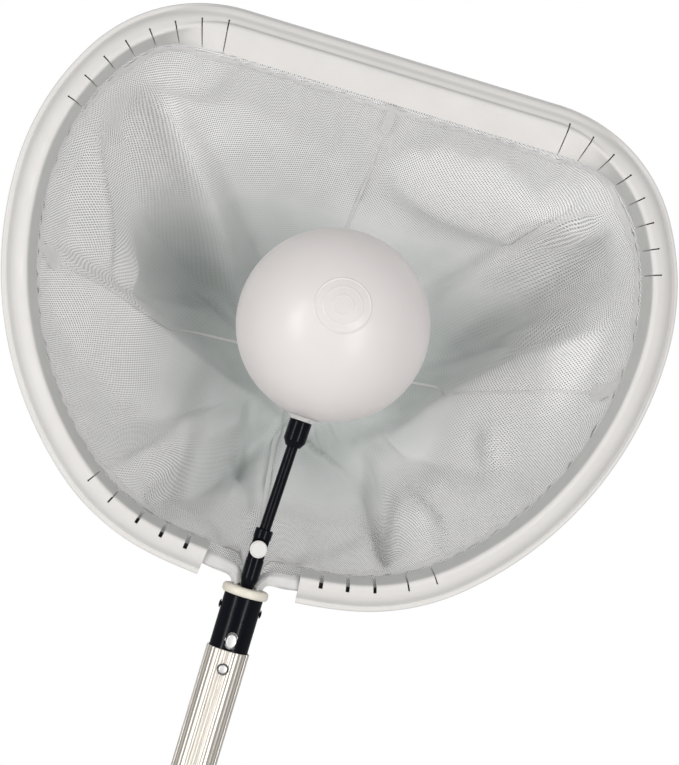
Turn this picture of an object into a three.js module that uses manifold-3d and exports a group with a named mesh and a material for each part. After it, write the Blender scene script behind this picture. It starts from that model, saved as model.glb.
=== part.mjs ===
// Leaf skimmer net with a float: a D-shaped hoop with a slit vinyl rim and a sewn mesh bag, a ball
// float on an arm that swings in the hoop's plane, a spring-clip adapter and a telescopic pole.
//
// Millimetres. +Z runs up the pole towards the net, the net opens towards -Y and the bag hangs
// behind it, towards +Y. The origin is the middle of the pole's butt face.
import * as THREE from 'three';
import { mergeVertices } from 'three/addons/utils/BufferGeometryUtils.js';
import Module from 'manifold-3d';

const wasm = await Module();
wasm.setup();

// ---- Driving dimensions ------------------------------------------------------------------------

const GAP = 0.3;                  // clearance kept between neighbouring pieces

// Pole
const POLE_R = 15.875;            // standard 1 1/4 in pool pole
const POLE_BORE_R = 14.6;
const FLUTES = 28;
const FLUTE_DEPTH = 0.5;
const OUTER_TUBE_Z = [165, 650];
const INNER_R = 13.8;
const INNER_BORE_R = 12.6;
const INNER_TUBE_Z = [6.6, 520];
const GRIP_R = 17;
const GRIP_Z = [6.6, 142.4];
const COLLAR_LOCK_Z = [143.4, 182];
const SLEEVE_Z = [146, 194];

// Head, measured from the middle of the cream collar
const COLLAR_Z = 694;
const COLLAR_R = 17;
const COLLAR_TOP = 2.5;
const COLLAR_UNDER = -4;
const PLUG_R = 12;
const PLUG_BOTTOM = -26;
const ADAPTER_R = 14.3;
const ADAPTER_BORE_R = 12.3;
const ADAPTER_BOTTOM = -110;
const RIVET_Z = -14;
const RIVET_R = 1.6;

// Spring clip: two leaves joined at a bend, each with a lock pin and a release button
const CLIP_PIVOT_Z = -98;
const CLIP_PIVOT_Y = 2.5;
const CLIP_WALL_Y = 10.7;         // middle of a leaf where it runs along the adapter's wall
const LEAF_TOP = -29.5;
const LEAF_WIDTH = 7;
const LEAF_THICK = 0.8;
const LOCK_PIN_Z = -57.4;
const LOCK_PIN_R = 3.5;
const LOCK_HOLE_R = 4.4;
const BUTTON_Z = -36.5;
const BUTTON_HALF = [3.9, 5.4];
const BUTTON_HOLE_HALF = [4.7, 6.3];

// Hoop: an outline 12 mm outside the rod, as a straight top, five arcs a side and a sloping foot
const HOOP_HEIGHT = 400;
const HALF_TOP = 118;
// Radius and turn in degrees of each arc, from the top corner to the foot.
const OUTLINE_ARCS = [[116, 59], [186, 30.5], [268, 49.4], [165, 30], [307, 5.3]];
const RIM_INSET = 12;             // from that outline to the middle of the hoop rod
const HOOP_Y = 1.5;
const ROD_R = 3.5;
const HEM_R = 4.5;
const HEM_SHORT = 1.2;            // the hem ends this far above the straight legs
const LEG_X = 7.4;
const LEG_BEND_R = 10;
const LEG_BOTTOM = -24;
const ROD_SIDES = 8;
const STATION_TURN = 9;           // degrees of bend between neighbouring stations

// Rim: a folded vinyl strip over the hem. Its section is given as [outward, forward] from the rod.
const RIM_THICK = 1.8;
const RIM_SIDE = [
  [13.2, -2.5], [9.8, -2.3], [7.6, 0.2], [2.6, 6], [-3.9, 8.9], [-6.4, 6.9], [-8.4, -1], [-11, -12],
];
const RIM_TOP = [
  [13.2, -4.2], [10.2, -0.4], [6.4, 1.6], [3, 4.6], [-0.5, 6.3], [-1.9, 9], [-11.5, 8], [-22, 5.2],
];
const RIM_ROLL = [122, 190];      // path length from the top's middle where the section changes
const RIM_END_X = 35.5;
const SLIT_PITCH = 19.2;
const CORNER_SLITS = 8;
const CORNER_SLIT_START = 128;
const CORNER_SLIT_WIDTH = 0.9;
const FOOT_SLITS = [              // distance of each foot slit from the middle, and its width
  [131, 0.9], [113, 1.2], [90, 2.4], [70.5, 2.8], [51, 3],
];
const SLIT_REACH = 2.4;           // how far a slit runs outward past the rim's ridge

// Bag
const BAG_THICK = 1.6;
const BAG_DEPTH = 186;
const BAG_CENTRE_Z = 168;         // height of the bag's deepest point above the collar
const BAG_SAG = 34;
const BAG_BOWL = 1.75;            // above 1 the walls start steep and the bottom is flatter
const BAG_RINGS = 6;
const BAG_HEM = [-3.4, -6];
const BAG_EDGE_SIDE = [-10.5, -14.8];
const BAG_EDGE_TOP = [-22.5, 1.6];
const BAG_FOOT_X = 15;

// Float
const ARM_Y = -6.3;
const ARM_R = 6.5;
const SHANK_R = 4.4;
const SHANK_BOTTOM = -24;
const PIVOT_Z = 32;
const FLOAT_LEAN = 1.9;           // degrees that the float leans to the right at rest
const PIN_R = 2.3;
const PIN_HEAD_R = 6.35;
const TONGUE_HALF = 2.2;
const STEM_R = 4.1;
const KNUCKLE_TOP = 14.6;         // from here on, heights above the pivot
const SOCKET_Z = [77, 81.8, 96.7];
const SOCKET_R = 8.2;
const BALL_Z = 169.3;
const BALL_R = 70;
const BALL_WALL = 2.8;
const NECK_R = [8.4, 19];
const SPIGOT_R = 7;

// ---- Materials ---------------------------------------------------------------------------------

const plastic = (color, roughness) => new THREE.MeshStandardMaterial({ color, roughness, metalness: 0 });
const metal = (color, roughness) => new THREE.MeshStandardMaterial({ color, roughness, metalness: 1 });
const VINYL = plastic(0xe6e2de, 0.45);
const MESH_CLOTH = plastic(0xe4e6e4, 0.9);
const HEM_CLOTH = plastic(0xdcdad6, 0.9);
const BLACK = plastic(0x0b0c14, 0.2);
const CREAM = plastic(0xece6d4, 0.4);
const WHITE = plastic(0xe9e8e4, 0.35);
const BALL_WHITE = plastic(0xe8e3df, 0.35);
const ANODISED = metal(0xd8d2c6, 0.35);
const HOOP_METAL = metal(0xb9bbbd, 0.4);
const STEEL = metal(0xc9cacc, 0.25);
const RUBBER = plastic(0x17181a, 0.7);

// ---- Helpers -----------------------------------------------------------------------------------

/** A closed three.js geometry as a manifold-3d solid. */
function solid(geometry) {
  const bare = geometry.clone();
  bare.deleteAttribute('normal');
  bare.deleteAttribute('uv');
  const merged = mergeVertices(bare, 1e-4);
  return new wasm.Manifold(new wasm.Mesh({
    numProp: 3,
    vertProperties: merged.attributes.position.array,
    triVerts: new Uint32Array(merged.index.array),
  }));
}

/** A manifold-3d solid as a three.js geometry. */
function geometryOf(manifold) {
  const { numProp, vertProperties, triVerts } = manifold.getMesh();
  const positions = new Float32Array((vertProperties.length / numProp) * 3);
  for (let i = 0; i < positions.length / 3; i++) {
    positions.set(vertProperties.subarray(i * numProp, i * numProp + 3), i * 3);
  }
  return new THREE.BufferGeometry()
    .setAttribute('position', new THREE.BufferAttribute(positions, 3))
    .setIndex(new THREE.BufferAttribute(new Uint32Array(triVerts), 1));
}

/** The first geometry, less every later one. */
function cut(geometry, ...tools) {
  return geometryOf(tools.reduce((rest, tool) => rest.subtract(solid(tool)), solid(geometry)));
}

/** All the geometries as one body. */
function join(geometry, ...others) {
  return geometryOf(others.reduce((sum, other) => sum.add(solid(other)), solid(geometry)));
}

/** A body of revolution about +Z from [radius, height] points. */
function turned(profile, segments = 24) {
  const points = profile.map(([r, z]) => new THREE.Vector2(r, z));
  return new THREE.LatheGeometry(points, segments).rotateX(Math.PI / 2);
}

/** A hollow body of revolution: the profile is a loop that stays off the axis. */
const turnedRing = (profile, segments) => turned([...profile, profile[0]], segments);

/** A cylinder along +Z between two heights. */
function post(radius, low, high, segments = 20) {
  return new THREE.CylinderGeometry(radius, radius, high - low, segments)
    .rotateX(Math.PI / 2)
    .translate(0, 0, (low + high) / 2);
}

/** A cylinder along X or Y, from low to high on that axis, at the given height. */
function crossPost(axis, radius, low, high, height = 0, segments = 16) {
  const body = post(radius, low, high, segments);
  if (axis === 'x') body.rotateY(Math.PI / 2);
  else body.rotateX(-Math.PI / 2);
  return body.translate(0, 0, height);
}

function box(low, high) {
  const size = high.map((h, i) => h - low[i]);
  return new THREE.BoxGeometry(...size).translate(...low.map((l, i) => l + size[i] / 2));
}

/** An ellipse of the given half sizes in XZ, extruded along Y. */
function oval([halfX, halfZ], low, high, height) {
  const shape = new THREE.Shape().absellipse(0, 0, halfX, halfZ, 0, 2 * Math.PI);
  return new THREE.ExtrudeGeometry(shape, { depth: high - low, bevelEnabled: false, curveSegments: 20 })
    .rotateX(Math.PI / 2)
    .translate(0, high, height);
}

function place(geometry, name, material, position = [0, 0, 0], rotation = [0, 0, 0]) {
  const mesh = new THREE.Mesh(geometry, material);
  mesh.name = name;
  mesh.position.set(...position);
  mesh.rotation.set(...rotation);
  return mesh;
}

function group(position, ...children) {
  const made = new THREE.Group();
  made.position.set(...position);
  return made.add(...children);
}

const radians = THREE.MathUtils.degToRad;
const smooth = THREE.MathUtils.smoothstep;
const mix = (a, b, t) => a.map((value, i) => THREE.MathUtils.lerp(value, b[i], t));

// ---- The hoop's path ---------------------------------------------------------------------------

/**
 * Walks one half of the hoop rod from the middle of the top to the end of its leg, as stations
 * with a point [x, z], an outward normal and the length walked. Positive turns are clockwise.
 */
function walkHalf() {
  const foot = radians(OUTLINE_ARCS.reduce((sum, [, turn]) => sum + turn, 0));
  const stations = [];
  let at = [0, HOOP_HEIGHT - RIM_INSET];
  let heading = 0;
  let length = 0;
  const stop = () => stations.push({
    at: [...at], normal: [Math.sin(heading), Math.cos(heading)], length,
  });
  const straight = (distance, steps) => {
    for (let i = 0; i < steps; i++) {
      at = [at[0] + Math.cos(heading) * distance / steps, at[1] - Math.sin(heading) * distance / steps];
      length += distance / steps;
      stop();
    }
  };
  const arc = (radius, turn, steps) => {
    for (let i = 0; i < steps; i++) {
      const step = radians(turn) / steps;
      const chord = 2 * radius * Math.sin(Math.abs(step) / 2);
      const middle = heading + step / 2;
      at = [at[0] + Math.cos(middle) * chord, at[1] - Math.sin(middle) * chord];
      heading += step;
      length += radius * Math.abs(step);
      stop();
    }
  };
  stop();
  straight(HALF_TOP, 2);
  for (const [radius, turn] of OUTLINE_ARCS) arc(radius - RIM_INSET, turn, Math.round(turn / STATION_TURN));
  const bendWidth = LEG_BEND_R * (1 + Math.cos(foot + Math.PI / 2));
  straight((at[0] - LEG_X - bendWidth) / Math.cos(Math.PI - foot), 2);
  arc(LEG_BEND_R, 90 - THREE.MathUtils.radToDeg(foot), 5);
  const bendEnd = length;
  straight(at[1] - LEG_BOTTOM, 1);
  return { stations, bendEnd };
}

const { stations: half, bendEnd } = walkHalf();
const mirrored = half.slice(1).reverse().map(({ at, normal, length }) => ({
  at: [-at[0], at[1]], normal: [-normal[0], normal[1]], length: -length,
}));
const hoopPath = [...mirrored, ...half];

/** The point and normal at a signed length along the hoop, from the middle of the top. */
function stationAt(length) {
  const next = Math.max(1, hoopPath.findIndex((s) => s.length >= length));
  const [a, b] = [hoopPath[next - 1], hoopPath[next]];
  const t = (length - a.length) / (b.length - a.length);
  return { at: mix(a.at, b.at, t), normal: mix(a.normal, b.normal, t), length };
}

/** The hoop's stations between two lengths, with a station exactly at each end. */
function stretch(from, to) {
  const inside = hoopPath.filter((s) => s.length > from + 0.5 && s.length < to - 0.5);
  return [stationAt(from), ...inside, stationAt(to)];
}

/** The length along one half at which the rod is at the given distance from the middle, near its foot. */
function footLength(x) {
  const after = half.findIndex((s, i) => i > half.length / 2 && s.at[0] < x);
  const [a, b] = [half[after - 1], half[after]];
  return a.length + (b.length - a.length) * (a.at[0] - x) / (a.at[0] - b.at[0]);
}

/** A [outward, forward] offset from a station, as a point in space. */
function offset({ at, normal }, [outward, forward]) {
  return new THREE.Vector3(at[0] + normal[0] * outward, HOOP_Y - forward, at[1] + normal[1] * outward);
}

/** How far the rim has rolled to its top section, from 0 on the sides to 1 along the top. */
const roll = (station) => 1 - smooth(Math.abs(station.length), ...RIM_ROLL);

// ---- Lofted pieces -----------------------------------------------------------------------------

/** A closed solid through the stations; sectionAt gives each station's loop of [outward, forward]. */
function loft(stations, sectionAt) {
  const loops = stations.map((station) => sectionAt(station).map((uv) => offset(station, uv)));
  const count = loops[0].length;
  const triangles = [];
  for (let i = 0; i + 1 < loops.length; i++) {
    for (let j = 0; j < count; j++) {
      const k = (j + 1) % count;
      const [a, b, c, d] = [i * count + j, i * count + k, (i + 1) * count + k, (i + 1) * count + j];
      triangles.push(a, b, c, a, c, d);
    }
  }
  const flat = (station) => sectionAt(station).map(([u, v]) => new THREE.Vector2(u, v));
  const last = (loops.length - 1) * count;
  for (const [a, b, c] of THREE.ShapeUtils.triangulateShape(flat(stations[0]), [])) {
    triangles.push(a, c, b);
  }
  for (const [a, b, c] of THREE.ShapeUtils.triangulateShape(flat(stations.at(-1)), [])) {
    triangles.push(last + a, last + b, last + c);
  }
  return new THREE.BufferGeometry().setFromPoints(loops.flat()).setIndex(triangles);
}

function circle(radius) {
  return Array.from({ length: ROD_SIDES }, (_, i) => {
    const angle = (2 * Math.PI * i) / ROD_SIDES;
    return [radius * Math.cos(angle), radius * Math.sin(angle)];
  });
}

/** The rim's section: its middle line thickened to both sides, as one loop. */
function rimSection(station) {
  const t = roll(station);
  const line = RIM_SIDE.map((point, i) => mix(point, RIM_TOP[i], t));
  const side = (sign) => line.map((point, i) => {
    const [before, after] = [line[Math.max(i - 1, 0)], line[Math.min(i + 1, line.length - 1)]];
    const [du, dv] = [after[0] - before[0], after[1] - before[1]];
    const shift = (sign * RIM_THICK) / 2 / Math.hypot(du, dv);
    return [point[0] - dv * shift, point[1] + du * shift];
  });
  return [...side(-1), ...side(1).reverse()];
}

function hoopRod() {
  const rod = loft(hoopPath, () => circle(ROD_R));
  return cut(rod, crossPost('x', RIVET_R + GAP, -20, 20, RIVET_Z, 12).translate(0, HOOP_Y, 0));
}

function hemSleeve() {
  const end = bendEnd - HEM_SHORT;
  const past = end + 0.5;
  return cut(
    loft(stretch(-end, end), () => circle(HEM_R)),
    loft([stationAt(-past), ...stretch(-end, end), stationAt(past)], () => circle(ROD_R + GAP)),
  );
}

/** A thin box across the rim at a station, reaching from inside the bag's edge to past the ridge. */
function slitTool(station, width) {
  const ridge = RIM_SIDE[4][0] + (RIM_TOP[5][0] - RIM_SIDE[4][0]) * roll(station);
  const reach = [-30, ridge + SLIT_REACH];
  const tool = box([reach[0], -20, -width / 2], [reach[1], 30, width / 2]);
  const [x, z] = station.at;
  return tool
    .rotateY(-Math.atan2(station.normal[1], station.normal[0]))
    .translate(x, HOOP_Y, z);
}

function rimLip() {
  const end = footLength(RIM_END_X);
  const tools = [];
  for (const side of [-1, 1]) {
    for (let i = 0; i < CORNER_SLITS; i++) {
      tools.push(slitTool(stationAt(side * (CORNER_SLIT_START + i * SLIT_PITCH)), CORNER_SLIT_WIDTH));
    }
    for (const [x, width] of FOOT_SLITS) {
      tools.push(slitTool(stationAt(side * footLength(x)), width));
    }
  }
  return cut(loft(stretch(-end, end), rimSection), ...tools);
}

/** The bag as a thick shell: hem strip, then rings that run down to the deepest point. */
function netBag() {
  const end = footLength(BAG_FOOT_X);
  const around = stretch(-end, end);
  const behindArm = [-5, 0, 5].map((x) => new THREE.Vector3(x, ARM_Y + ARM_R + 10, 10));
  const ringOf = (sidePoint, topPoint) => [
    ...around.map((s) => {
      const point = offset(s, mix(sidePoint, topPoint, roll(s)));
      const foot = 1 - smooth(Math.abs(s.at[0]), BAG_FOOT_X, BAG_FOOT_X + 40);
      if (s.at[1] < 60) point.y += foot * 4;
      return point;
    }),
    ...behindArm,
  ];
  const edge = ringOf(BAG_EDGE_SIDE, BAG_EDGE_TOP);
  const rings = [ringOf(BAG_HEM, BAG_HEM), edge];
  const deepest = new THREE.Vector3(0, HOOP_Y + 14 + BAG_DEPTH, BAG_CENTRE_Z);
  for (let i = 1; i <= BAG_RINGS; i++) {
    const t = i / (BAG_RINGS + 1);
    const depth = 1 - (1 - t) ** BAG_BOWL;
    rings.push(edge.map((start) => {
      const low = 1 - smooth(start.z, 60, HOOP_HEIGHT);
      return new THREE.Vector3(
        THREE.MathUtils.lerp(start.x, deepest.x, t),
        THREE.MathUtils.lerp(start.y, deepest.y, depth),
        THREE.MathUtils.lerp(start.z, deepest.z, t) - BAG_SAG * low * Math.sin(Math.PI * t) ** 1.2,
      );
    }));
  }
  return thickened(rings, deepest, BAG_THICK);
}

/** A closed shell about a surface made of closed rings of points that end in one point. */
function thickened(rings, tip, thickness) {
  const count = rings[0].length;
  const last = rings.length * count;
  const faces = [];
  for (let j = 0; j < count; j++) {
    const k = (j + 1) % count;
    for (let i = 0; i + 1 < rings.length; i++) {
      const [a, b, c, d] = [i * count + j, i * count + k, (i + 1) * count + k, (i + 1) * count + j];
      faces.push([a, b, c], [a, c, d]);
    }
    faces.push([last - count + j, last - count + k, last]);
  }
  const middle = new THREE.BufferGeometry().setFromPoints([...rings.flat(), tip]).setIndex(faces.flat());
  middle.computeVertexNormals();
  const { position, normal } = middle.attributes;
  const shifted = (sign) => Array.from({ length: position.count }, (_, i) =>
    new THREE.Vector3().fromBufferAttribute(position, i)
      .addScaledVector(new THREE.Vector3().fromBufferAttribute(normal, i), (sign * thickness) / 2));
  const total = position.count;
  const triangles = [
    ...faces.flat(),
    ...faces.flatMap(([a, b, c]) => [total + a, total + c, total + b]),
  ];
  for (let j = 0; j < count; j++) {
    const k = (j + 1) % count;
    triangles.push(j, total + j, total + k, j, total + k, k);
  }
  return new THREE.BufferGeometry().setFromPoints([...shifted(1), ...shifted(-1)]).setIndex(triangles);
}

// ---- Adapter and clip --------------------------------------------------------------------------

function plugCollar() {
  const body = turned([
    [0, PLUG_BOTTOM], [PLUG_R - 0.8, PLUG_BOTTOM], [PLUG_R, PLUG_BOTTOM + 0.8], [PLUG_R, COLLAR_UNDER],
    [COLLAR_R - 1.2, COLLAR_UNDER], [COLLAR_R, COLLAR_UNDER + 1.4], [COLLAR_R, COLLAR_TOP - 1.4],
    [COLLAR_R - 1.2, COLLAR_TOP], [0, COLLAR_TOP],
  ], 24);
  const legBore = (x) => post(ROD_R + GAP, PLUG_BOTTOM - 5, 10, 16).translate(x, HOOP_Y, 0);
  return cut(
    body,
    legBore(-LEG_X),
    legBore(LEG_X),
    post(SHANK_R + GAP, PLUG_BOTTOM - 5, 10, 20).translate(0, ARM_Y, 0),
    crossPost('x', RIVET_R + GAP, -20, 20, RIVET_Z, 12).translate(0, HOOP_Y, 0),
  );
}

function adapterTube() {
  const top = COLLAR_UNDER - GAP;
  const tube = turnedRing([
    [ADAPTER_BORE_R, ADAPTER_BOTTOM], [ADAPTER_R - 1, ADAPTER_BOTTOM], [ADAPTER_R, ADAPTER_BOTTOM + 2],
    [ADAPTER_R, top], [ADAPTER_BORE_R, top],
  ], 24);
  return cut(
    tube,
    crossPost('x', RIVET_R + GAP, -20, 20, RIVET_Z, 12).translate(0, HOOP_Y, 0),
    crossPost('y', LOCK_HOLE_R, -20, 20, LOCK_PIN_Z),
    oval(BUTTON_HOLE_HALF, -20, 20, BUTTON_Z),
  );
}

function crossRivet() {
  const [seat, crown] = [ADAPTER_R + GAP, ADAPTER_R + GAP + 1.4];
  const dome = (sign) => [[RIVET_R, sign * seat], [3.2, sign * seat], [3, sign * (seat + 0.6)],
    [1.8, sign * (crown - 0.2)]];
  return turned([
    [0, -crown], ...dome(-1).reverse(), ...dome(1), [0, crown],
  ], 20);
}

/** One leaf of the clip in its pivot's frame: it leans out from the bend, then follows the wall. */
function clipLeaf() {
  const out = CLIP_WALL_Y - CLIP_PIVOT_Y;
  const knee = [out, 30];
  const top = [out, LEAF_TOP - CLIP_PIVOT_Z];
  const t = LEAF_THICK / 2;
  const shape = new THREE.Shape([
    [-t, 0.6], [t, 0.6], [knee[0] + t, knee[1]], [top[0] + t, top[1]], [top[0] - t, top[1]],
    [knee[0] - t, knee[1]],
  ].map(([y, z]) => new THREE.Vector2(y, z)));
  return new THREE.ExtrudeGeometry(shape, { depth: LEAF_WIDTH, bevelEnabled: false })
    .translate(0, 0, -LEAF_WIDTH / 2)
    .rotateY(Math.PI / 2)
    .rotateX(Math.PI / 2);
}

/** The bend that joins the two leaves: a half ring under their pivots. */
function clipBend() {
  const [outer, inner] = [CLIP_PIVOT_Y + LEAF_THICK / 2, CLIP_PIVOT_Y - LEAF_THICK / 2];
  const shape = new THREE.Shape()
    .absarc(0, 0, outer, Math.PI, 2 * Math.PI, false)
    .absarc(0, 0, inner, 2 * Math.PI, Math.PI, true);
  return new THREE.ExtrudeGeometry(shape, { depth: LEAF_WIDTH, bevelEnabled: false, curveSegments: 10 })
    .translate(0, 0, -LEAF_WIDTH / 2)
    .rotateY(Math.PI / 2)
    .rotateX(Math.PI / 2);
}

function lockPin() {
  const start = CLIP_WALL_Y + LEAF_THICK / 2 + GAP;
  return turned([
    [0, start], [LOCK_PIN_R, start], [LOCK_PIN_R, POLE_R - 0.9], [LOCK_PIN_R - 0.7, POLE_R - 0.1],
    [0, POLE_R - 0.1],
  ], 24);
}

function releaseButton() {
  const start = CLIP_WALL_Y + LEAF_THICK / 2 + GAP;
  return new THREE.ExtrudeGeometry(
    new THREE.Shape().absellipse(0, 0, BUTTON_HALF[0] - 0.5, BUTTON_HALF[1] - 0.5, 0, 2 * Math.PI),
    { depth: 4.4, bevelThickness: 0.6, bevelSize: 0.5, bevelSegments: 1, curveSegments: 12 },
  ).translate(0, 0, start + 0.6);
}

/** One side of the clip: leaf, lock pin and button. facing is -1 for the front and 1 for the back. */
function clipSide(side, facing) {
  const along = (height) => [0, -facing * CLIP_PIVOT_Y, height - CLIP_PIVOT_Z];
  const outward = [(facing * -Math.PI) / 2, 0, 0];
  const leaf = place(clipLeaf(), `clip_leaf_${side}`, STEEL);
  if (facing < 0) leaf.rotation.z = Math.PI;
  return group(
    [0, facing * CLIP_PIVOT_Y, CLIP_PIVOT_Z],
    leaf,
    place(lockPin(), `lock_pin_${side}`, STEEL, along(LOCK_PIN_Z), outward),
    place(releaseButton(), `release_button_${side}`, STEEL, along(BUTTON_Z), outward),
  );
}

// ---- Float -------------------------------------------------------------------------------------

function armBase() {
  const body = turned([
    [0, SHANK_BOTTOM], [SHANK_R, SHANK_BOTTOM], [SHANK_R, COLLAR_TOP + 0.4], [ARM_R, 9.5],
    [ARM_R, PIVOT_Z], [0, PIVOT_Z],
  ], 24);
  return cut(
    join(body, crossPost('y', ARM_R, -ARM_R, ARM_R, PIVOT_Z, 28)),
    box([-10, -2.5, PIVOT_Z - 8], [10, 2.5, PIVOT_Z + 10]),
    crossPost('y', PIN_R + GAP, -10, 10, PIVOT_Z, 16),
  );
}

/** The pivot pin along its own axis, from its tail to its dished head. */
function pivotPin() {
  const seat = ARM_R + GAP;
  return turned([
    [0, -ARM_R - 3.6], [PIN_R, -ARM_R - 3.6], [PIN_R, seat], [PIN_HEAD_R, seat], [PIN_HEAD_R, seat + 2],
    [PIN_HEAD_R - 0.5, seat + 2.8], [PIN_HEAD_R - 1.1, seat + 2.8], [PIN_HEAD_R - 1.5, seat + 2.1],
    [0, seat + 2.1],
  ], 24);
}

function pinRetainer() {
  const seat = -ARM_R - GAP;
  return turnedRing([
    [PIN_R + GAP, seat - 2.8], [4.4, seat - 2.8], [5, seat - 2.2], [5, seat], [PIN_R + GAP, seat],
  ], 24);
}

function stemKnuckle() {
  const half = TONGUE_HALF;
  const tongueR = ARM_R - 0.6;
  const body = join(
    crossPost('y', tongueR, -half, half, 0, 24),
    box([-tongueR, -half, 0], [tongueR, half, 9]),
    post(ARM_R, 7.3, KNUCKLE_TOP, 28),
  );
  return cut(
    body,
    crossPost('y', PIN_R + GAP, -10, 10, 0, 16),
    post(STEM_R + GAP, 8.6, KNUCKLE_TOP + 5, 20),
  );
}

function stemSocket() {
  const [foot, shoulder, top] = SOCKET_Z;
  const web = foot + 9.2;
  return turned([
    [0, web], [STEM_R + GAP, web], [STEM_R + GAP, foot], [5.4, foot], [SOCKET_R, shoulder],
    [SOCKET_R, top], [4.5, top], [4.5, web + 1.4], [0, web + 1.4],
  ], 24);
}

const ballSphere = (radius, around, down) =>
  new THREE.SphereGeometry(radius, around, down).rotateX(Math.PI / 2).translate(0, 0, BALL_Z);

/** The faceted neck under the ball: a stud for the socket, a flared seat and a spigot for the ball. */
function ballNeck() {
  const foot = SOCKET_Z[2] + GAP;
  const flare = new THREE.CylinderGeometry(NECK_R[1], NECK_R[0], 7.2, 8)
    .rotateX(Math.PI / 2)
    .rotateZ(Math.PI / 8)
    .translate(0, 0, foot + 3.6);
  return join(
    cut(flare, ballSphere(BALL_R + GAP, 26, 16)),
    post(4.2, foot - 7, foot + 1, 20),
    post(SPIGOT_R, foot, foot + 14, 20),
  );
}

function floatBall() {
  return cut(
    ballSphere(BALL_R, 26, 16),
    ballSphere(BALL_R - BALL_WALL, 14, 9),
    post(SPIGOT_R + GAP, BALL_Z - BALL_R - 5, BALL_Z - BALL_R + 14, 20),
  );
}

// ---- Pole --------------------------------------------------------------------------------------

function outerTube() {
  const pitch = (2 * Math.PI) / FLUTES;
  const points = [];
  for (let i = 0; i < FLUTES; i++) {
    for (const [share, radius] of [[0, POLE_R], [0.55, POLE_R], [0.7, POLE_R - FLUTE_DEPTH],
      [0.85, POLE_R - FLUTE_DEPTH]]) {
      const angle = (i + share) * pitch;
      points.push(new THREE.Vector2(radius * Math.cos(angle), radius * Math.sin(angle)));
    }
  }
  const shape = new THREE.Shape(points);
  shape.holes.push(new THREE.Path().absarc(0, 0, POLE_BORE_R, 0, 2 * Math.PI, false));
  const [low, high] = OUTER_TUBE_Z;
  const tube = new THREE.ExtrudeGeometry(shape, {
    depth: high - low, bevelEnabled: false, curveSegments: 36,
  }).translate(0, 0, low);
  return cut(
    tube,
    crossPost('y', LOCK_HOLE_R, -20, 20, COLLAR_Z + LOCK_PIN_Z),
    crossPost('x', 1.7, -20, 20, SLEEVE_Z[1] - 6, 12),
  );
}

const innerTube = () => turnedRing([
  [INNER_BORE_R, INNER_TUBE_Z[0]], [INNER_R, INNER_TUBE_Z[0]], [INNER_R, INNER_TUBE_Z[1]],
  [INNER_BORE_R, INNER_TUBE_Z[1]],
], 24);

function innerBushing() {
  const top = INNER_TUBE_Z[1] + GAP;
  return turned([
    [0, top - 20], [INNER_BORE_R - GAP, top - 20], [INNER_BORE_R - GAP, top], [POLE_BORE_R - GAP, top],
    [POLE_BORE_R - GAP, top + 5], [POLE_BORE_R - 1.2, top + 6.5], [0, top + 6.5],
  ], 24);
}

/** The split sleeve that the lock collar closes on the inner tube. */
function lockSleeve() {
  const [low, high] = SLEEVE_Z;
  const shoulder = OUTER_TUBE_Z[0] - GAP;
  const body = turnedRing([
    [INNER_R + GAP, low], [17.2, low], [18.4, low + 4], [18.4, high - 0.8], [17.8, high],
    [POLE_R + GAP, high], [POLE_R + GAP, shoulder], [INNER_R + GAP, shoulder],
  ], 24);
  const slits = [0, 1].map((i) => box([-25, -0.8, low - 5], [25, 0.8, shoulder - 3])
    .rotateZ(radians(45 + 90 * i)));
  return cut(body, ...slits, crossPost('x', 1.7, -25, 25, high - 6, 12));
}

function lockCollar() {
  const [low, high] = COLLAR_LOCK_Z;
  const body = turnedRing([
    [INNER_R + 0.8, low], [20.4, low], [21.4, low + 1.2], [21.4, high - 1.2], [20.8, high],
    [18.8, high], [18.8, low + 7.4], [17.6, low + 2.2], [INNER_R + 0.8, low + 2.2],
  ], 24);
  const ribs = Array.from({ length: 12 }, (_, i) =>
    post(1.3, low + 3, high - 4, 6).translate(21.2, 0, 0).rotateZ(radians(15 + 30 * i)));
  return join(body, ...ribs);
}

function sleeveRivet() {
  return turned([
    [0, POLE_BORE_R - 0.4], [1.4, POLE_BORE_R - 0.4], [1.4, 18.7], [2.7, 18.7], [2.4, 19.5], [0, 19.8],
  ], 16);
}

function handGrip() {
  const [low, high] = GRIP_Z;
  return turnedRing([
    [INNER_R + GAP, low], [GRIP_R + 0.6, low], [GRIP_R + 1.2, low + 2], [GRIP_R + 1.2, low + 8],
    [GRIP_R, low + 12], [GRIP_R - 0.6, (low + high) / 2], [GRIP_R, high - 10], [GRIP_R + 1, high - 6],
    [GRIP_R + 1, high - 2], [GRIP_R, high], [INNER_R + GAP, high],
  ], 24);
}

const buttCap = () => turned([
  [0, 0], [15, 0], [16.8, 1.8], [16.8, 5.6], [16, 6.3], [INNER_BORE_R - GAP, 6.3],
  [INNER_BORE_R - GAP, 26], [0, 26],
], 24);

// ---- Assembly ----------------------------------------------------------------------------------

const swingingFloat = group(
  [0, ARM_Y, PIVOT_Z],
  place(stemKnuckle(), 'stem_knuckle', BLACK),
  place(post(STEM_R, 8.9, SOCKET_Z[0] + 8.9, 20), 'stem_rod', BLACK),
  place(stemSocket(), 'stem_socket', BLACK),
  place(ballNeck(), 'ball_neck', WHITE),
  place(floatBall(), 'float_ball', BALL_WHITE),
);
swingingFloat.rotation.y = radians(FLOAT_LEAN);

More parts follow.
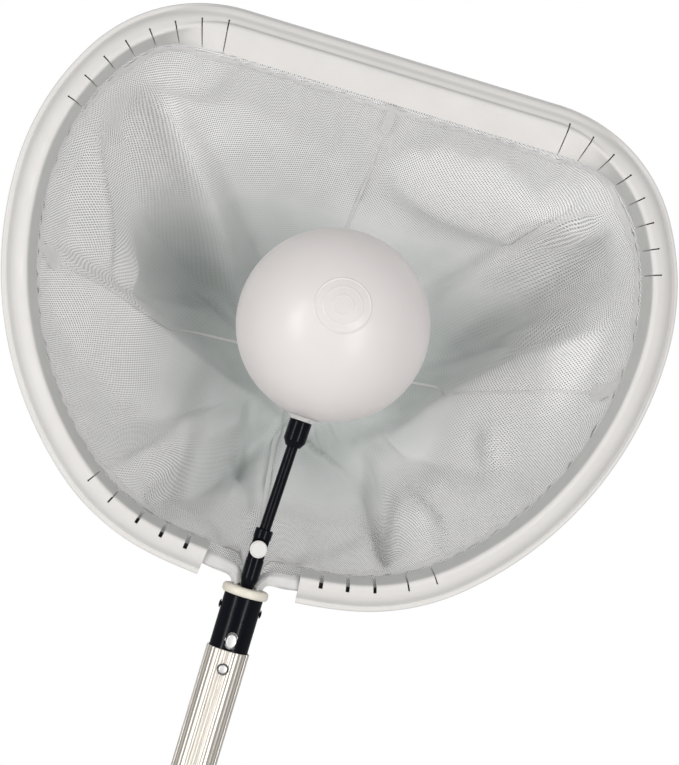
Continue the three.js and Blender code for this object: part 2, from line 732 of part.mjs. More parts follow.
const toFront = [Math.PI / 2, 0, 0];
const head = group(
  [0, 0, COLLAR_Z],
  place(hoopRod(), 'hoop_rod', HOOP_METAL),
  place(hemSleeve(), 'net_hem', HEM_CLOTH),
  place(rimLip(), 'rim_lip', VINYL),
  place(netBag(), 'net_bag', MESH_CLOTH),
  place(plugCollar(), 'plug_collar', CREAM),
  place(adapterTube(), 'adapter_tube', BLACK),
  place(crossRivet(), 'cross_rivet', STEEL, [0, HOOP_Y, RIVET_Z], [0, Math.PI / 2, 0]),
  place(clipBend(), 'clip_bend', STEEL, [0, 0, CLIP_PIVOT_Z]),
  clipSide('front', -1),
  clipSide('back', 1),
  place(armBase(), 'arm_base', BLACK, [0, ARM_Y, 0]),
  place(pivotPin(), 'pivot_pin', WHITE, [0, ARM_Y, PIVOT_Z], toFront),
  place(pinRetainer(), 'pin_retainer', BLACK, [0, ARM_Y, PIVOT_Z], toFront),
  swingingFloat,
);

const rivetHeight = SLEEVE_Z[1] - 6;
const pole = group(
  [0, 0, 0],
  place(outerTube(), 'pole_outer_tube', ANODISED),
  place(lockSleeve(), 'lock_sleeve', BLACK),
  place(sleeveRivet(), 'sleeve_rivet_right', STEEL, [0, 0, rivetHeight], [0, Math.PI / 2, 0]),
  place(sleeveRivet(), 'sleeve_rivet_left', STEEL, [0, 0, rivetHeight], [0, -Math.PI / 2, 0]),
  place(lockCollar(), 'lock_collar', BLACK),
  place(innerTube(), 'pole_inner_tube', ANODISED),
  place(innerBushing(), 'inner_bushing', WHITE),
  place(handGrip(), 'hand_grip', RUBBER),
  place(buttCap(), 'butt_cap', RUBBER),
);

export default new THREE.Group().add(pole, head);
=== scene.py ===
"""The looks of a leaf skimmer net with a ball float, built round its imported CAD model.

Everything is in metres, in the model's own frame: +Z runs up the pole, the net's mouth faces -Y
and its bag hangs towards +Y. Profiles and small sizes are written in millimetres and scaled by MM.
"""
import math

import bmesh
import bpy
import numpy as np
from mathutils import Matrix, Vector


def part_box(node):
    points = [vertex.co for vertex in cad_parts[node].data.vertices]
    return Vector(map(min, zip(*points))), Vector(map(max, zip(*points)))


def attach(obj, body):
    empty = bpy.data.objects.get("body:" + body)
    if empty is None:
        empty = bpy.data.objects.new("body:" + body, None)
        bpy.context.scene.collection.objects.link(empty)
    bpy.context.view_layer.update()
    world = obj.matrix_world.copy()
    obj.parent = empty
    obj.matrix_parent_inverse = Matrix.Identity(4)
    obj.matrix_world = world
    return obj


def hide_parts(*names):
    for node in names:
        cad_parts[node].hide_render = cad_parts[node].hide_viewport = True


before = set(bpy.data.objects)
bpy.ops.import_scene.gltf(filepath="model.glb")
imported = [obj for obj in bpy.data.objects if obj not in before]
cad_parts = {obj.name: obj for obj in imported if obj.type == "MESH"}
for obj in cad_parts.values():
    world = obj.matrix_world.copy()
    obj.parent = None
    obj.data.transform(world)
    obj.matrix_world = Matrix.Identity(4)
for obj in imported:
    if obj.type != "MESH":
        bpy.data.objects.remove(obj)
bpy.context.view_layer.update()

MM = 0.001

# ---- Places, taken from the frame ----


def middle(node):
    low, high = (Vector(corner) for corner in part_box(node))
    return (low + high) / 2


def top_of(node):
    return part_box(node)[1][2]


def level(node):
    """The point of the pole's axis at the node's middle height."""
    return Vector((0, 0, middle(node).z))


def heights(node):
    """The node's lowest and highest points in millimetres."""
    return (corner[2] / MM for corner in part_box(node))


def put(name, data):
    """A new object in the scene."""
    made = bpy.data.objects.new(name, data)
    bpy.context.scene.collection.objects.link(made)
    return made


COLLAR_TOP = 2.5  # mm above the middle of the cream collar
GAP = 0.3  # mm of clearance kept between fitted pieces
HEAD = Vector((0, 0, top_of("plug_collar") - COLLAR_TOP * MM))
ARM_Y = middle("arm_base").y
PIVOT = Vector((0, ARM_Y, middle("pivot_pin").z))
BALL_R = 70
BALL_AT_REST = Vector((middle("float_ball").x, ARM_Y, top_of("float_ball") - BALL_R * MM))
ARM_TO_BALL = (BALL_AT_REST - PIVOT).length
FLOAT_LEAN = math.atan2(BALL_AT_REST.x, ARM_TO_BALL)  # the float leans a little at rest
BALL = PIVOT + Vector((0, 0, ARM_TO_BALL))  # before it leans

# ---- Camera: it looks squarely at the net's mouth, leaning so that the pole slants ----

LEAN = math.radians(16.6)
SIDEWAYS = math.radians(-2.5)
LENS = 117.4
SENSOR = 36
DISTANCE = 1.8
AIM_RIGHT, AIM_UP = 0.0677, 0.1499  # from the collar to the middle of the view
AIM = HEAD + Vector((AIM_RIGHT * math.cos(LEAN) - AIM_UP * math.sin(LEAN), 0,
                     AIM_RIGHT * math.sin(LEAN) + AIM_UP * math.cos(LEAN)))


def make_camera():
    data = bpy.data.cameras.new("camera")
    data.lens, data.sensor_width = LENS, SENSOR
    camera = put("camera", data)
    aside = Matrix.Rotation(SIDEWAYS, 4, "Z")
    camera.location = AIM + aside @ Vector((0, -DISTANCE, 0))
    upright = Matrix.Rotation(math.radians(90), 4, "X")
    camera.rotation_euler = (aside @ Matrix.Rotation(-LEAN, 4, "Y") @ upright).to_euler()
    bpy.context.scene.camera = camera


make_camera()

# ---- Materials ----

TAPE_PITCH = 0.0007  # metres from thread to thread
MESH_PITCH = 0.0019  # metres from hole to hole


class Shader:
    """A node material with one Principled shader, and short words for the nodes it needs."""

    def __init__(self, name, color, roughness, **inputs):
        self.material = bpy.data.materials.new(name)
        self.material.use_nodes = True
        self.tree = self.material.node_tree
        self.shader = self.tree.nodes["Principled BSDF"]
        self.shader.inputs["Base Color"].default_value = (*color, 1)
        self.shader.inputs["Roughness"].default_value = roughness
        for socket, value in inputs.items():
            self.shader.inputs[socket.replace("_", " ")].default_value = value
        self.color, self.normal = color, None
        self.place = self.add("ShaderNodeTexCoord").outputs["Object"]

    def add(self, kind, links=(), **settings):
        node = self.tree.nodes.new(kind)
        for key, value in settings.items():
            setattr(node, key, value)
        for socket, value in dict(links).items():
            self.set(node, socket, value)
        return node

    def set(self, node, socket, value):
        target = node.inputs[socket]
        if isinstance(value, bpy.types.NodeSocket):
            self.tree.links.new(value, target)
        else:
            target.default_value = value

    def math(self, operation, *values):
        return self.add("ShaderNodeMath", enumerate(values), operation=operation).outputs[0]

    def scaled(self, scale, source=None):
        links = {"Vector": source or self.place, "Scale": scale}
        return self.add("ShaderNodeMapping", links).outputs[0]

    def noise(self, size, detail=3, stretch=(1, 1, 1), source=None, rough=0.5):
        """Noise from 0 to 1 whose grain is about size metres across."""
        links = {"Vector": self.scaled(stretch, source), "Scale": 1 / size, "Detail": detail,
                 "Roughness": rough}
        return self.add("ShaderNodeTexNoise", links).outputs["Fac"]

    def spread(self, value, low, high, start=0.3, end=0.7):
        links = {"Value": value, "From Min": start, "From Max": end, "To Min": low, "To Max": high}
        return self.add("ShaderNodeMapRange", links).outputs["Result"]

    def tint(self, mask, color):
        """Mixes another colour in where the mask is 1."""
        before = self.shader.inputs["Base Color"]
        source = before.links[0].from_socket if before.links else (*self.color, 1)
        sockets = {0: mask, 6: source, 7: (*color, 1)}
        mixer = self.add("ShaderNodeMix", sockets, data_type="RGBA")
        self.tree.links.new(mixer.outputs[2], before)
        return self

    def rough(self, value):
        self.tree.links.new(value, self.shader.inputs["Roughness"])
        return self

    def bump(self, height, depth, strength=1.0):
        """Adds relief of the given depth in metres, on top of any before it."""
        links = {"Height": height, "Distance": depth, "Strength": strength}
        if self.normal:
            links["Normal"] = self.normal
        self.normal = self.add("ShaderNodeBump", links).outputs["Normal"]
        self.tree.links.new(self.normal, self.shader.inputs["Normal"])
        return self


def moulded(name, color, roughness, shade, grain=0.0006, depth=0.00002, **inputs):
    """Moulded plastic: a faint grain, slow changes of tone and patches of handling gloss."""
    s = Shader(name, color, roughness, **inputs)
    s.tint(s.spread(s.noise(0.03, 4), 0, 0.5), shade)
    s.rough(s.spread(s.noise(0.012, 5), roughness * 0.8, roughness * 1.35))
    s.bump(s.noise(grain, 2), depth)
    return s.bump(s.noise(0.02, 3), 0.00012)


def make_materials():
    made = {}

    vinyl = moulded("vinyl", (0.80, 0.785, 0.765), 0.4, (0.74, 0.72, 0.69),
                    Specular_IOR_Level=0.5)
    scuffs = vinyl.noise(0.0011, 6, (1, 1, 0.12))
    vinyl.tint(vinyl.spread(scuffs, 0, 0.35, 0.62, 0.78), (0.66, 0.64, 0.61))
    normal = vinyl.add("ShaderNodeNewGeometry").outputs["Normal"]
    facing = vinyl.add("ShaderNodeSeparateXYZ", {0: normal})
    steep_wall_shade = vinyl.spread(vinyl.math("ABSOLUTE", facing.outputs["Y"]), 0.62, 0, 0.25, 0.72)
    vinyl.tint(steep_wall_shade, (0.47, 0.485, 0.475))  # painted shade: faces that turn away from the front and back, such as the rim's inner wall, are darkened
    made["vinyl"] = vinyl

    cream = moulded("cream_plastic", (0.86, 0.82, 0.71), 0.35, (0.81, 0.76, 0.64))
    made["cream_plastic"] = cream

    white = moulded("white_plastic", (0.82, 0.81, 0.79), 0.32, (0.77, 0.755, 0.73))
    made["white_plastic"] = white

    ball = moulded("ball_plastic", (0.82, 0.785, 0.775), 0.36, (0.80, 0.75, 0.74), grain=0.002,
                   Coat_Weight=0.12, Coat_Roughness=0.25)
    made["ball_plastic"] = ball

    black = moulded("black_plastic", (0.001, 0.0014, 0.004), 0.2, (0.003, 0.0035, 0.008),
                    grain=0.0005, depth=0.000008, Specular_IOR_Level=0.13)
    scratches = black.noise(0.0005, 3, (1, 1, 0.06))
    black.bump(black.spread(scratches, 0, 1, 0.6, 0.75), 0.00001)
    made["black_plastic"] = black

    rubber = moulded("rubber", (0.018, 0.018, 0.02), 0.62, (0.035, 0.034, 0.033), grain=0.0009,
                     depth=0.0001)
    made["rubber"] = rubber

    for name, color, roughness, stretch in (
        ("anodised_aluminium", (0.75, 0.715, 0.65), 0.33, (1, 1, 0.02)),
        ("hoop_aluminium", (0.62, 0.63, 0.64), 0.38, (1, 1, 1)),
        ("spring_steel", (0.90, 0.90, 0.89), 0.42, (1, 0.2, 1)),
    ):
        metal = Shader(name, color, roughness, Metallic=1.0)
        drawn = metal.noise(0.0008, 4, stretch)
        metal.rough(metal.spread(drawn, roughness * 0.75, roughness * 1.4))
        metal.tint(metal.spread(metal.noise(0.02, 4, stretch), 0, 0.45), [c * 0.82 for c in color])
        metal.bump(drawn, 0.00002)
        made[name] = metal

    made["hem_fabric"] = woven_tape("hem_fabric")
    made["net_fabric"] = net_mesh("net_fabric")
    return {name: s.material for name, s in made.items()}


def threads(s, source, pitch):
    """Two sets of threads over the flat cloth, each from 0 between threads to 1 on top of one."""
    apart = s.add("ShaderNodeSeparateXYZ", {0: source})
    return [
        s.math("ABSOLUTE", s.math("SINE", s.math("MULTIPLY", apart.outputs[i], math.pi / pitch)))
        for i in range(2)
    ]


def woven_tape(name):
    """Close plain weave, used for the folded hem, the seams and the patches."""
    s = Shader(name, (0.88, 0.875, 0.865), 0.85, Sheen_Weight=0.3, Sheen_Roughness=0.5)
    flat = s.add("ShaderNodeTexCoord").outputs["UV"]
    warp, weft = threads(s, flat, TAPE_PITCH)
    s.tint(s.spread(s.noise(0.012, 4), 0, 0.6), (0.76, 0.755, 0.74))
    # painted shade: the hem is tinted nearly black where the rim's strip covers it
    under_rim_shade = s.add("ShaderNodeAttribute", attribute_name="under_rim_shade").outputs["Fac"]
    s.tint(under_rim_shade, (0.035, 0.038, 0.045))
    s.bump(s.math("MULTIPLY", warp, weft), 0.0002)
    return s.bump(s.noise(0.004, 3), 0.0004)


def net_mesh(name):
    """Fine knitted mesh: a pattern of holes over the flat cloth, open near the rim and closing up
    to a hazy grey in the deep of the bag. The grey is painted shade, and the holes are painted
    nearly black as painted shade."""
    s = Shader(name, (0.97, 0.965, 0.965), 0.7, Sheen_Weight=0.25, Sheen_Roughness=0.4)
    flat = s.add("ShaderNodeTexCoord").outputs["UV"]
    deep_shade = s.add("ShaderNodeAttribute", attribute_name="deep_shade").outputs["Fac"]
    diagonal = {"Vector": flat, "Rotation": (0, 0, math.radians(45))}
    turned_flat = s.add("ShaderNodeMapping", diagonal)
    a, b = threads(s, turned_flat.outputs[0], MESH_PITCH)
    gap = s.math("MULTIPLY", a, b)
    haze = s.spread(deep_shade, 1, 0.1, 0.03, 0.36)
    open_hole = s.math("MULTIPLY", s.spread(gap, 0, 1, 0.53, 0.74), haze)
    s.tint(s.spread(s.noise(0.05, 4), 0, 0.5), (0.94, 0.945, 0.94))
    # painted shade: greyer deep in the bag and in the fold hollows
    s.tint(s.math("ADD", deep_shade, s.spread(s.noise(0.03, 4), -0.06, 0.06)), (0.49, 0.53, 0.515))
    # painted shade: the holes are painted nearly black
    s.tint(open_hole, (0.03, 0.034, 0.034))
    s.bump(s.math("MULTIPLY", s.math("SUBTRACT", 1.0, gap), haze), 0.00015)
    alpha = s.math("SUBTRACT", 1.0, s.math("MULTIPLY", open_hole, 0.25))
    s.tree.links.new(alpha, s.shader.inputs["Alpha"])
    return s


MATERIALS = make_materials()

# ---- Building pieces ----


def piece_of(name, points, faces, slot, flat=None):
    """A mesh object from points in metres; flat gives each point's place on the uncut cloth."""
    mesh = bpy.data.meshes.new(name)
    mesh.from_pydata([tuple(p) for p in points], [], [tuple(f) for f in faces])
    if flat is not None:
        layer = mesh.uv_layers.new(name="flat")
        index = np.zeros(len(mesh.loops), np.int32)
        mesh.loops.foreach_get("vertex_index", index)
        layer.data.foreach_set("uv", np.asarray(flat, np.float32)[index].ravel())
    made = put(name, mesh)
    made["slot"] = slot
    return made


def bands(loops, count, closed=False):
    """Faces between neighbouring loops of count points, and from last to first if closed."""
    faces = []
    for i in range(loops if closed else loops - 1):
        low, high = i * count, (i + 1) % loops * count
        for k in range(count):
            n = (k + 1) % count
            faces.append((low + k, low + n, high + n, high + k))
    return faces


def oval(wide, tall, count=40):
    """A loop of points; a circle if it is as wide as it is tall."""
    angles = [2 * math.pi * k / count for k in range(count)]
    return [(wide * math.cos(angle), tall * math.sin(angle)) for angle in angles]


def settle(made):
    """Applies a piece's modifiers to its mesh."""
    evaluated = made.evaluated_get(bpy.context.evaluated_depsgraph_get())
    mesh = bpy.data.meshes.new_from_object(evaluated)
    made.modifiers.clear()
    made.data = mesh


def tidy(made, sharp=35):
    """Welds doubled points, turns every face outward and keeps only real edges sharp."""
    mesh = made.data
    work = bmesh.new()
    work.from_mesh(mesh)
    bmesh.ops.remove_doubles(work, verts=work.verts, dist=1e-7)
    bmesh.ops.dissolve_degenerate(work, edges=work.edges, dist=1e-7)
    bmesh.ops.recalc_face_normals(work, faces=work.faces)
    work.to_mesh(mesh)
    work.free()
    mesh.shade_smooth()
    mesh.set_sharp_from_angle(angle=math.radians(sharp))
    return made


def carve(made, *tools, operation="DIFFERENCE"):
    for tool in tools:
        modifier = made.modifiers.new("carve", "BOOLEAN")
        modifier.object, modifier.operation, modifier.solver = tool, operation, "EXACT"
        settle(made)
        bpy.data.objects.remove(tool)
    return made


def bevel(made, width, segments=2, angle=35):
    modifier = made.modifiers.new("bevel", "BEVEL")
    modifier.width, modifier.segments = width * MM, segments
    modifier.limit_method, modifier.angle_limit = "ANGLE", math.radians(angle)
    modifier.harden_normals = False
    settle(made)
    return made


def softened(profile, radius, closed):
    """The profile with each corner replaced by a short curve."""
    rounded = []
    count = len(profile)
    for i, here in enumerate(profile):
        here = Vector(here)
        if not closed and i in (0, count - 1):
            rounded.append(here)
            continue
        before, after = Vector(profile[i - 1]) - here, Vector(profile[(i + 1) % count]) - here
        reach = min(radius, before.length * 0.45, after.length * 0.45)
        start, end = here + before.normalized() * reach, here + after.normalized() * reach
        for step in range(4):
            t = step / 3
            rounded.append(start * (1 - t) ** 2 + here * 2 * t * (1 - t) + end * t * t)
    return rounded


def turned(name, profile, slot, centre=(0, 0, 0), axis="Z", segments=72, radius=0.4):
    """A body of revolution from [radius, height] in millimetres, about an axis through centre."""
    closed = profile[0][0] > 0
    line = softened(profile, radius, closed)
    points = [Vector((x, y, height)) * MM for r, height in line for x, y in oval(r, r, segments)]
    faces = bands(len(line), segments, closed)
    turn = {"Z": Matrix(), "Y": Matrix.Rotation(math.radians(-90), 4, "X"),
            "-Y": Matrix.Rotation(math.radians(90), 4, "X"),
            "X": Matrix.Rotation(math.radians(90), 4, "Y"),
            "-X": Matrix.Rotation(math.radians(-90), 4, "Y")}[axis]
    placed = Matrix.Translation(centre) @ turn
    return tidy(piece_of(name, [placed @ p for p in points], faces, slot))


def tool_box(low, high, turn=None):
    """A box for carving, from corner to corner in millimetres, then moved by a matrix in metres."""
    corners = [Vector((x, y, z)) * MM for x in (low[0], high[0]) for y in (low[1], high[1])
               for z in (low[2], high[2])]
    faces = [(0, 1, 3, 2), (4, 6, 7, 5), (0, 4, 5, 1), (2, 3, 7, 6), (0, 2, 6, 4), (1, 5, 7, 3)]
    turn = turn or Matrix()
    return piece_of("tool", [turn @ p for p in corners], faces, None)


def tool_post(radius, low, high, centre, axis="Z", segments=48):
    return turned("tool", [(0, low), (radius, low), (radius, high), (0, high)], None, centre, axis,
                  segments, radius=0.001)


def tool_prism(outline, low, high, placed):
    """A cutter with an outline of [across, up], reaching from low to high along Y."""
    points = [placed @ (Vector((u, y, w)) * MM) for y in (low, high) for u, w in outline]
    count = len(outline)
    faces = [tuple(range(count)), tuple(reversed(range(count, 2 * count)))]
    faces += [(j, j + count, (j + 1) % count + count, (j + 1) % count) for j in range(count)]
    return tidy(piece_of("tool", points, faces, None))


def rides(made, body, *nodes):
    """Gives a finished piece its material, its body and the CAD nodes it stands for."""
    if body == "float":
        made.data.transform(Matrix.Translation(PIVOT) @ Matrix.Rotation(FLOAT_LEAN, 4, "Y")
                            @ Matrix.Translation(-PIVOT))
    slot = made.pop("slot")
    made.data.materials.clear()
    made.data.materials.append(MATERIALS[slot])
    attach(made, body)
    if nodes:
        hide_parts(*nodes)
    return made


# ---- The hoop's path ----

HOOP_HEIGHT = 400
HALF_TOP = 118
# Radius and turn in degrees of each arc, from the top corner to the foot.
OUTLINE_ARCS = [(116, 59), (186, 30.5), (268, 49.4), (165, 30), (307, 5.3)]
RIM_INSET = 12  # from that outline to the middle of the rod
HOOP_Y = 1.5
LEG_X, LEG_BEND_R, LEG_BOTTOM = 7.4, 10, -24
ROD_R = 3.5
STEP = 1.5  # between points along the path


class Hoop:
    """The hoop rod's middle line, walked in millimetres from the middle of the top."""

    def __init__(self):
        foot = math.radians(sum(turn for _, turn in OUTLINE_ARCS))
        self.rows = []
        self.at, self.heading, self.length = np.array([0.0, HOOP_HEIGHT - RIM_INSET]), 0.0, 0.0
        self.note()
        self.straight(HALF_TOP)
        for radius, turn in OUTLINE_ARCS:
            self.arc(radius - RIM_INSET, math.radians(turn))
        bend = LEG_BEND_R * (1 + math.cos(foot + math.pi / 2))
        self.straight((self.at[0] - LEG_X - bend) / math.cos(math.pi - foot))
        self.arc(LEG_BEND_R, math.pi / 2 - foot)
        self.foot = self.length
        self.straight(self.at[1] - LEG_BOTTOM)
        self.end = self.length
        half = np.array(self.rows)
        other = half[:0:-1] * [-1, -1, 1, -1, 1]
        self.table = np.concatenate([other, half])

    def note(self):
        normal = math.sin(self.heading), math.cos(self.heading)
        self.rows.append([self.length, *self.at, *normal])

    def straight(self, distance):
        self.arc(None, 0, distance)

    def arc(self, radius, turn, distance=None):
        distance = radius * abs(turn) if distance is None else distance
        steps = max(1, round(distance / STEP))
        for _ in range(steps):
            middle_heading = self.heading + turn / steps / 2
            self.at = self.at + np.array([math.cos(middle_heading), -math.sin(middle_heading)]) * (
                distance / steps)
            self.heading += turn / steps
            self.length += distance / steps
            self.note()

    def at_length(self, length):
        """x, z and the outward normal at a signed length."""
        columns = [np.interp(length, self.table[:, 0], self.table[:, k]) for k in range(1, 5)]
        return np.array(columns)

    def foot_length(self, x):
        """The length at which the rod is x from the middle, near its foot."""
        rows = self.table[self.table[:, 0] > self.end * 0.6]
        return float(np.interp(-x, -rows[:, 1], rows[:, 0]))

    def offset(self, length, outward, forward):
        """A point off the path, in metres in the model's frame."""
        x, z, nx, nz = self.at_length(length)
        return HEAD + Vector((x + nx * outward, HOOP_Y - forward, z + nz * outward)) * MM


HOOP = Hoop()
RIM_ROLL = (122, 190)  # where the top's section turns into the side's


def smooth(value, low, high):
    t = min(max((value - low) / (high - low), 0), 1)
    return t * t * (3 - 2 * t)


def roll(length):
    return 1 - smooth(abs(length), *RIM_ROLL)


def loft(name, lengths, section, slot, flat=False):
    """A closed body along the hoop; section(length) is a loop of [outward, forward]."""
    points, place = [], []
    for length in lengths:
        loop = section(length)
        count = len(loop)
        points += [HOOP.offset(length, u, v) for u, v in loop]
        around = np.cumsum([0] + [math.dist(loop[i], loop[i + 1]) for i in range(count - 1)])
        place += [(length * MM, a * MM) for a in around]
    faces = bands(len(lengths), count)
    faces.append(tuple(reversed(range(count))))
    faces.append(tuple(range((len(lengths) - 1) * count, len(lengths) * count)))
    return piece_of(name, points, faces, slot, place if flat else None)


def lengths_between(start, end, step):
    return list(np.linspace(start, end, max(2, round((end - start) / step) + 1)))


# ---- Rim, hoop rod and hem ----

# The middle of the strip's section as [outward, forward], at the sides and along the top.
RIM_SIDE = [
    (13.2, -2.5), (12.3, -2), (11, -1.9), (9.8, -2.3), (8.4, -1.2), (6.8, 1.4), (4.6, 4.3),
    (1.8, 6.7), (-1.4, 8.2), (-3.9, 9), (-5.4, 8.7), (-6.4, 6.9), (-7.7, 1.6), (-9.1, -5),
    (-11, -12),
]
RIM_TOP = [
    (13.2, -4.2), (12.3, -3.5), (11.3, -2.2), (10.2, -0.4), (8.4, 0.7), (6.3, 1.5), (4.6, 2.9),
    (2.9, 4.5), (1.2, 5.3), (-0.5, 6.3), (-1.7, 8.3), (-3.2, 9.4), (-7, 9), (-14, 7.4), (-22, 5.2),
]
RIM_THICK = 1.8
RIM_LIPS = [0.35, 0.55, 0.75], [0.8, 0.5]  # how its two edges thin out
RIM_END_X = 35.5
SLIT_PITCH = 19.2
CORNER_SLITS = 8
CORNER_SLIT_START = 128
CORNER_SLIT_WIDTH = 0.9
FOOT_SLITS = [(131, 0.9), (113, 1.2), (90, 2.4), (70.5, 2.8), (51, 3)]  # [x, width]
RIDGE = 9  # which point of the section is its ridge
SLIT_REACH = 2.9  # how far slits run outward past the ridge
SQUARE_SLIT = 2  # slots wider than this have square ends


def rim_line(length):
    """The middle of the vinyl strip's section, as a smooth curve through its points."""
    t = roll(length)
    knots = np.array(RIM_SIDE) * (1 - t) + np.array(RIM_TOP) * t
    padded = np.vstack([2 * knots[0] - knots[1], knots, 2 * knots[-1] - knots[-2]])
    line = []
    for i in range(1, len(padded) - 2):
        p0, p1, p2, p3 = padded[i - 1 : i + 3]
        for u in (0, 1 / 3, 2 / 3):
            line.append(0.5 * (2 * p1 + (p2 - p0) * u + (2 * p0 - 5 * p1 + 4 * p2 - p3) * u * u
                               + (3 * p1 - p0 - 3 * p2 + p3) * u ** 3))
    return np.array([*line, padded[-2]])


def rim_section(length):
    line = rim_line(length)
    along = np.gradient(line, axis=0)
    along /= np.linalg.norm(along, axis=1)[:, None]
    across = np.stack([-along[:, 1], along[:, 0]], axis=1)
    taper = np.full(len(line), RIM_THICK / 2)
    taper[:3], taper[-2:] = RIM_LIPS
    front, back = line - across * taper[:, None], line + across * taper[:, None]
    return [tuple(p) for p in np.concatenate([front, back[::-1]])]


def slit_tool(length, width):
    """A cutter across the rim: a slot with a small round end, or a square one if it is wide."""
    x, z, nx, nz = HOOP.at_length(length)
    t = roll(length)
    ridge = RIM_SIDE[RIDGE][0] * (1 - t) + RIM_TOP[RIDGE + 1][0] * t
    reach, half = ridge + SLIT_REACH, width / 2
    outline = [(-30, -half), (reach, -half)]
    if width < SQUARE_SLIT:
        end_radius = max(half * 1.05, 0.7)
        start = math.asin(half / end_radius)
        centre = reach + end_radius * math.cos(start)
        for k in range(9):
            angle = math.pi + start + (2 * math.pi - 2 * start) * k / 8
            outline.append((centre + end_radius * math.cos(angle), end_radius * math.sin(angle)))
    outline += [(reach, half), (-30, half)]
    turn = Matrix(((nx, 0, nz, 0), (0, 1, 0, 0), (nz, 0, -nx, 0), (0, 0, 0, 1)))
    placed = Matrix.Translation(HEAD + Vector((x, HOOP_Y, z)) * MM) @ turn
    return tool_prism(outline, -20, 30, placed)


def make_rim():
    end = HOOP.foot_length(RIM_END_X)
    rim = loft("vinyl_rim", lengths_between(-end, end, 3), rim_section, "vinyl")
    tidy(rim)
    tools = []
    for side in (-1, 1):
        tools += [slit_tool(side * (CORNER_SLIT_START + i * SLIT_PITCH), CORNER_SLIT_WIDTH)
                  for i in range(CORNER_SLITS)]
        tools += [slit_tool(side * HOOP.foot_length(x), width) for x, width in FOOT_SLITS]
    carve(rim, *tools)
    rides(tidy(rim, 40), "net_and_pole", "rim_lip")


def make_hoop_rod():
    rod = loft("bent_hoop_rod", lengths_between(-HOOP.end, HOOP.end, 3),
               lambda length: oval(ROD_R, ROD_R, 20), "hoop_aluminium")
    rides(tidy(rod, 50), "net_and_pole", "hoop_rod")


HEM_R = 4.5
HEM_AROUND = 28
HEM_SHORT = 1.2  # it stops this far above the legs
HEM_STEP = 1.5


def make_hem_sleeve():
    """The folded fabric round the rod: it puckers where it is gathered near the legs."""
    end = HOOP.foot - HEM_SHORT

    def section(length):
        gather = smooth(abs(length), end - 48, end - 22)
        loop = []
        sag = gather * math.sin(math.pi * smooth(end - abs(length), 0, 60))
        for k in range(HEM_AROUND):
            angle = 2 * math.pi * k / HEM_AROUND
            pucker = math.sin(length * 0.3 + 2.4 * math.sin(angle))
            pucker *= math.sin(length * 0.13 + angle)
            pleat = math.sin(5 * angle + 0.09 * length) + 0.6 * math.sin(8 * angle - 0.07 * length)
            drape = sag * (1 - math.cos(angle))
            radius = HEM_R + 0.2 * pucker + 0.34 * gather * pleat + 1.1 * drape
            loop.append((radius * math.cos(angle), radius * math.sin(angle)))
        return loop

    lengths = lengths_between(-end, end, HEM_STEP)
    sleeve = loft("hem_sleeve", lengths, section, "hem_fabric", flat=True)
    covered = HOOP.foot_length(RIM_END_X)
    # painted shade: near 1 on the sleeve's front where the rim covers it, which paints it nearly
    # black
    under_rim_shade = sleeve.data.attributes.new("under_rim_shade", "FLOAT", "POINT")
    for i, length in enumerate(lengths):
        for k in range(HEM_AROUND):
            faces_out = smooth(math.sin(2 * math.pi * k / HEM_AROUND), -0.1, 0.3)
            under_rim = smooth(covered - abs(length), 2, 8)
            under_rim_shade.data[i * HEM_AROUND + k].value = faces_out * under_rim
    rides(tidy(sleeve, 60), "net_and_pole", "net_hem")


# ---- Head: plug, adapter, rivet and clip ----

PIN_HOLE_R = 4.4
PIN_DROP, BUTTON_DROP = -57.4, -36.5  # their holes' heights in the adapter
BUTTON_HALF = 3.9, 5.4
BUTTON_HOLE_HALF = 4.7, 6.3


def make_plug():
    plug = turned("cream_plug", [
        (0, -26), (11.2, -26), (12, -25.2), (12, -4), (15.6, -4), (17, -2.6), (17, 1.1),
        (15.6, COLLAR_TOP), (0, COLLAR_TOP),
    ], "cream_plastic", HEAD, radius=1.2)
    bores = [tool_post(ROD_R + GAP, -31, 8, HEAD + Vector((x, HOOP_Y, 0)) * MM)
             for x in (-LEG_X, LEG_X)]
    shank = tool_post(4.7, -31, 8, HEAD + Vector((0, ARM_Y, 0)))
    carve(plug, *bores, shank)
    rides(bevel(tidy(plug), 0.25), "net_and_pole", "plug_collar")


def make_adapter():
    tube = turned("adapter_shell", [
        (12.3, -110), (13.5, -110), (14.3, -108), (14.3, -4.3), (12.3, -4.3),
    ], "black_plastic", HEAD, radius=0.5)
    pin_at, button_at = (HEAD + Vector((0, 0, drop * MM)) for drop in (PIN_DROP, BUTTON_DROP))
    button_hole = tool_prism(oval(*BUTTON_HOLE_HALF), -20, 20, Matrix.Translation(button_at))
    carve(tube, tool_post(PIN_HOLE_R, -20, 20, pin_at, "Y"), button_hole)
    rides(bevel(tidy(tube), 0.3), "net_and_pole", "adapter_tube")


def make_rivet():
    rivet = turned("cross_rivet_heads", [
        (0, -16), (1.8, -15.8), (3, -15.2), (3.2, -14.6), (1.6, -14.6), (1.6, 14.6), (3.2, 14.6),
        (3, 15.2), (1.8, 15.8), (0, 16),
    ], "black_plastic", middle("cross_rivet"), "X", 40, 0.3)
    rides(rivet, "net_and_pole", "cross_rivet")


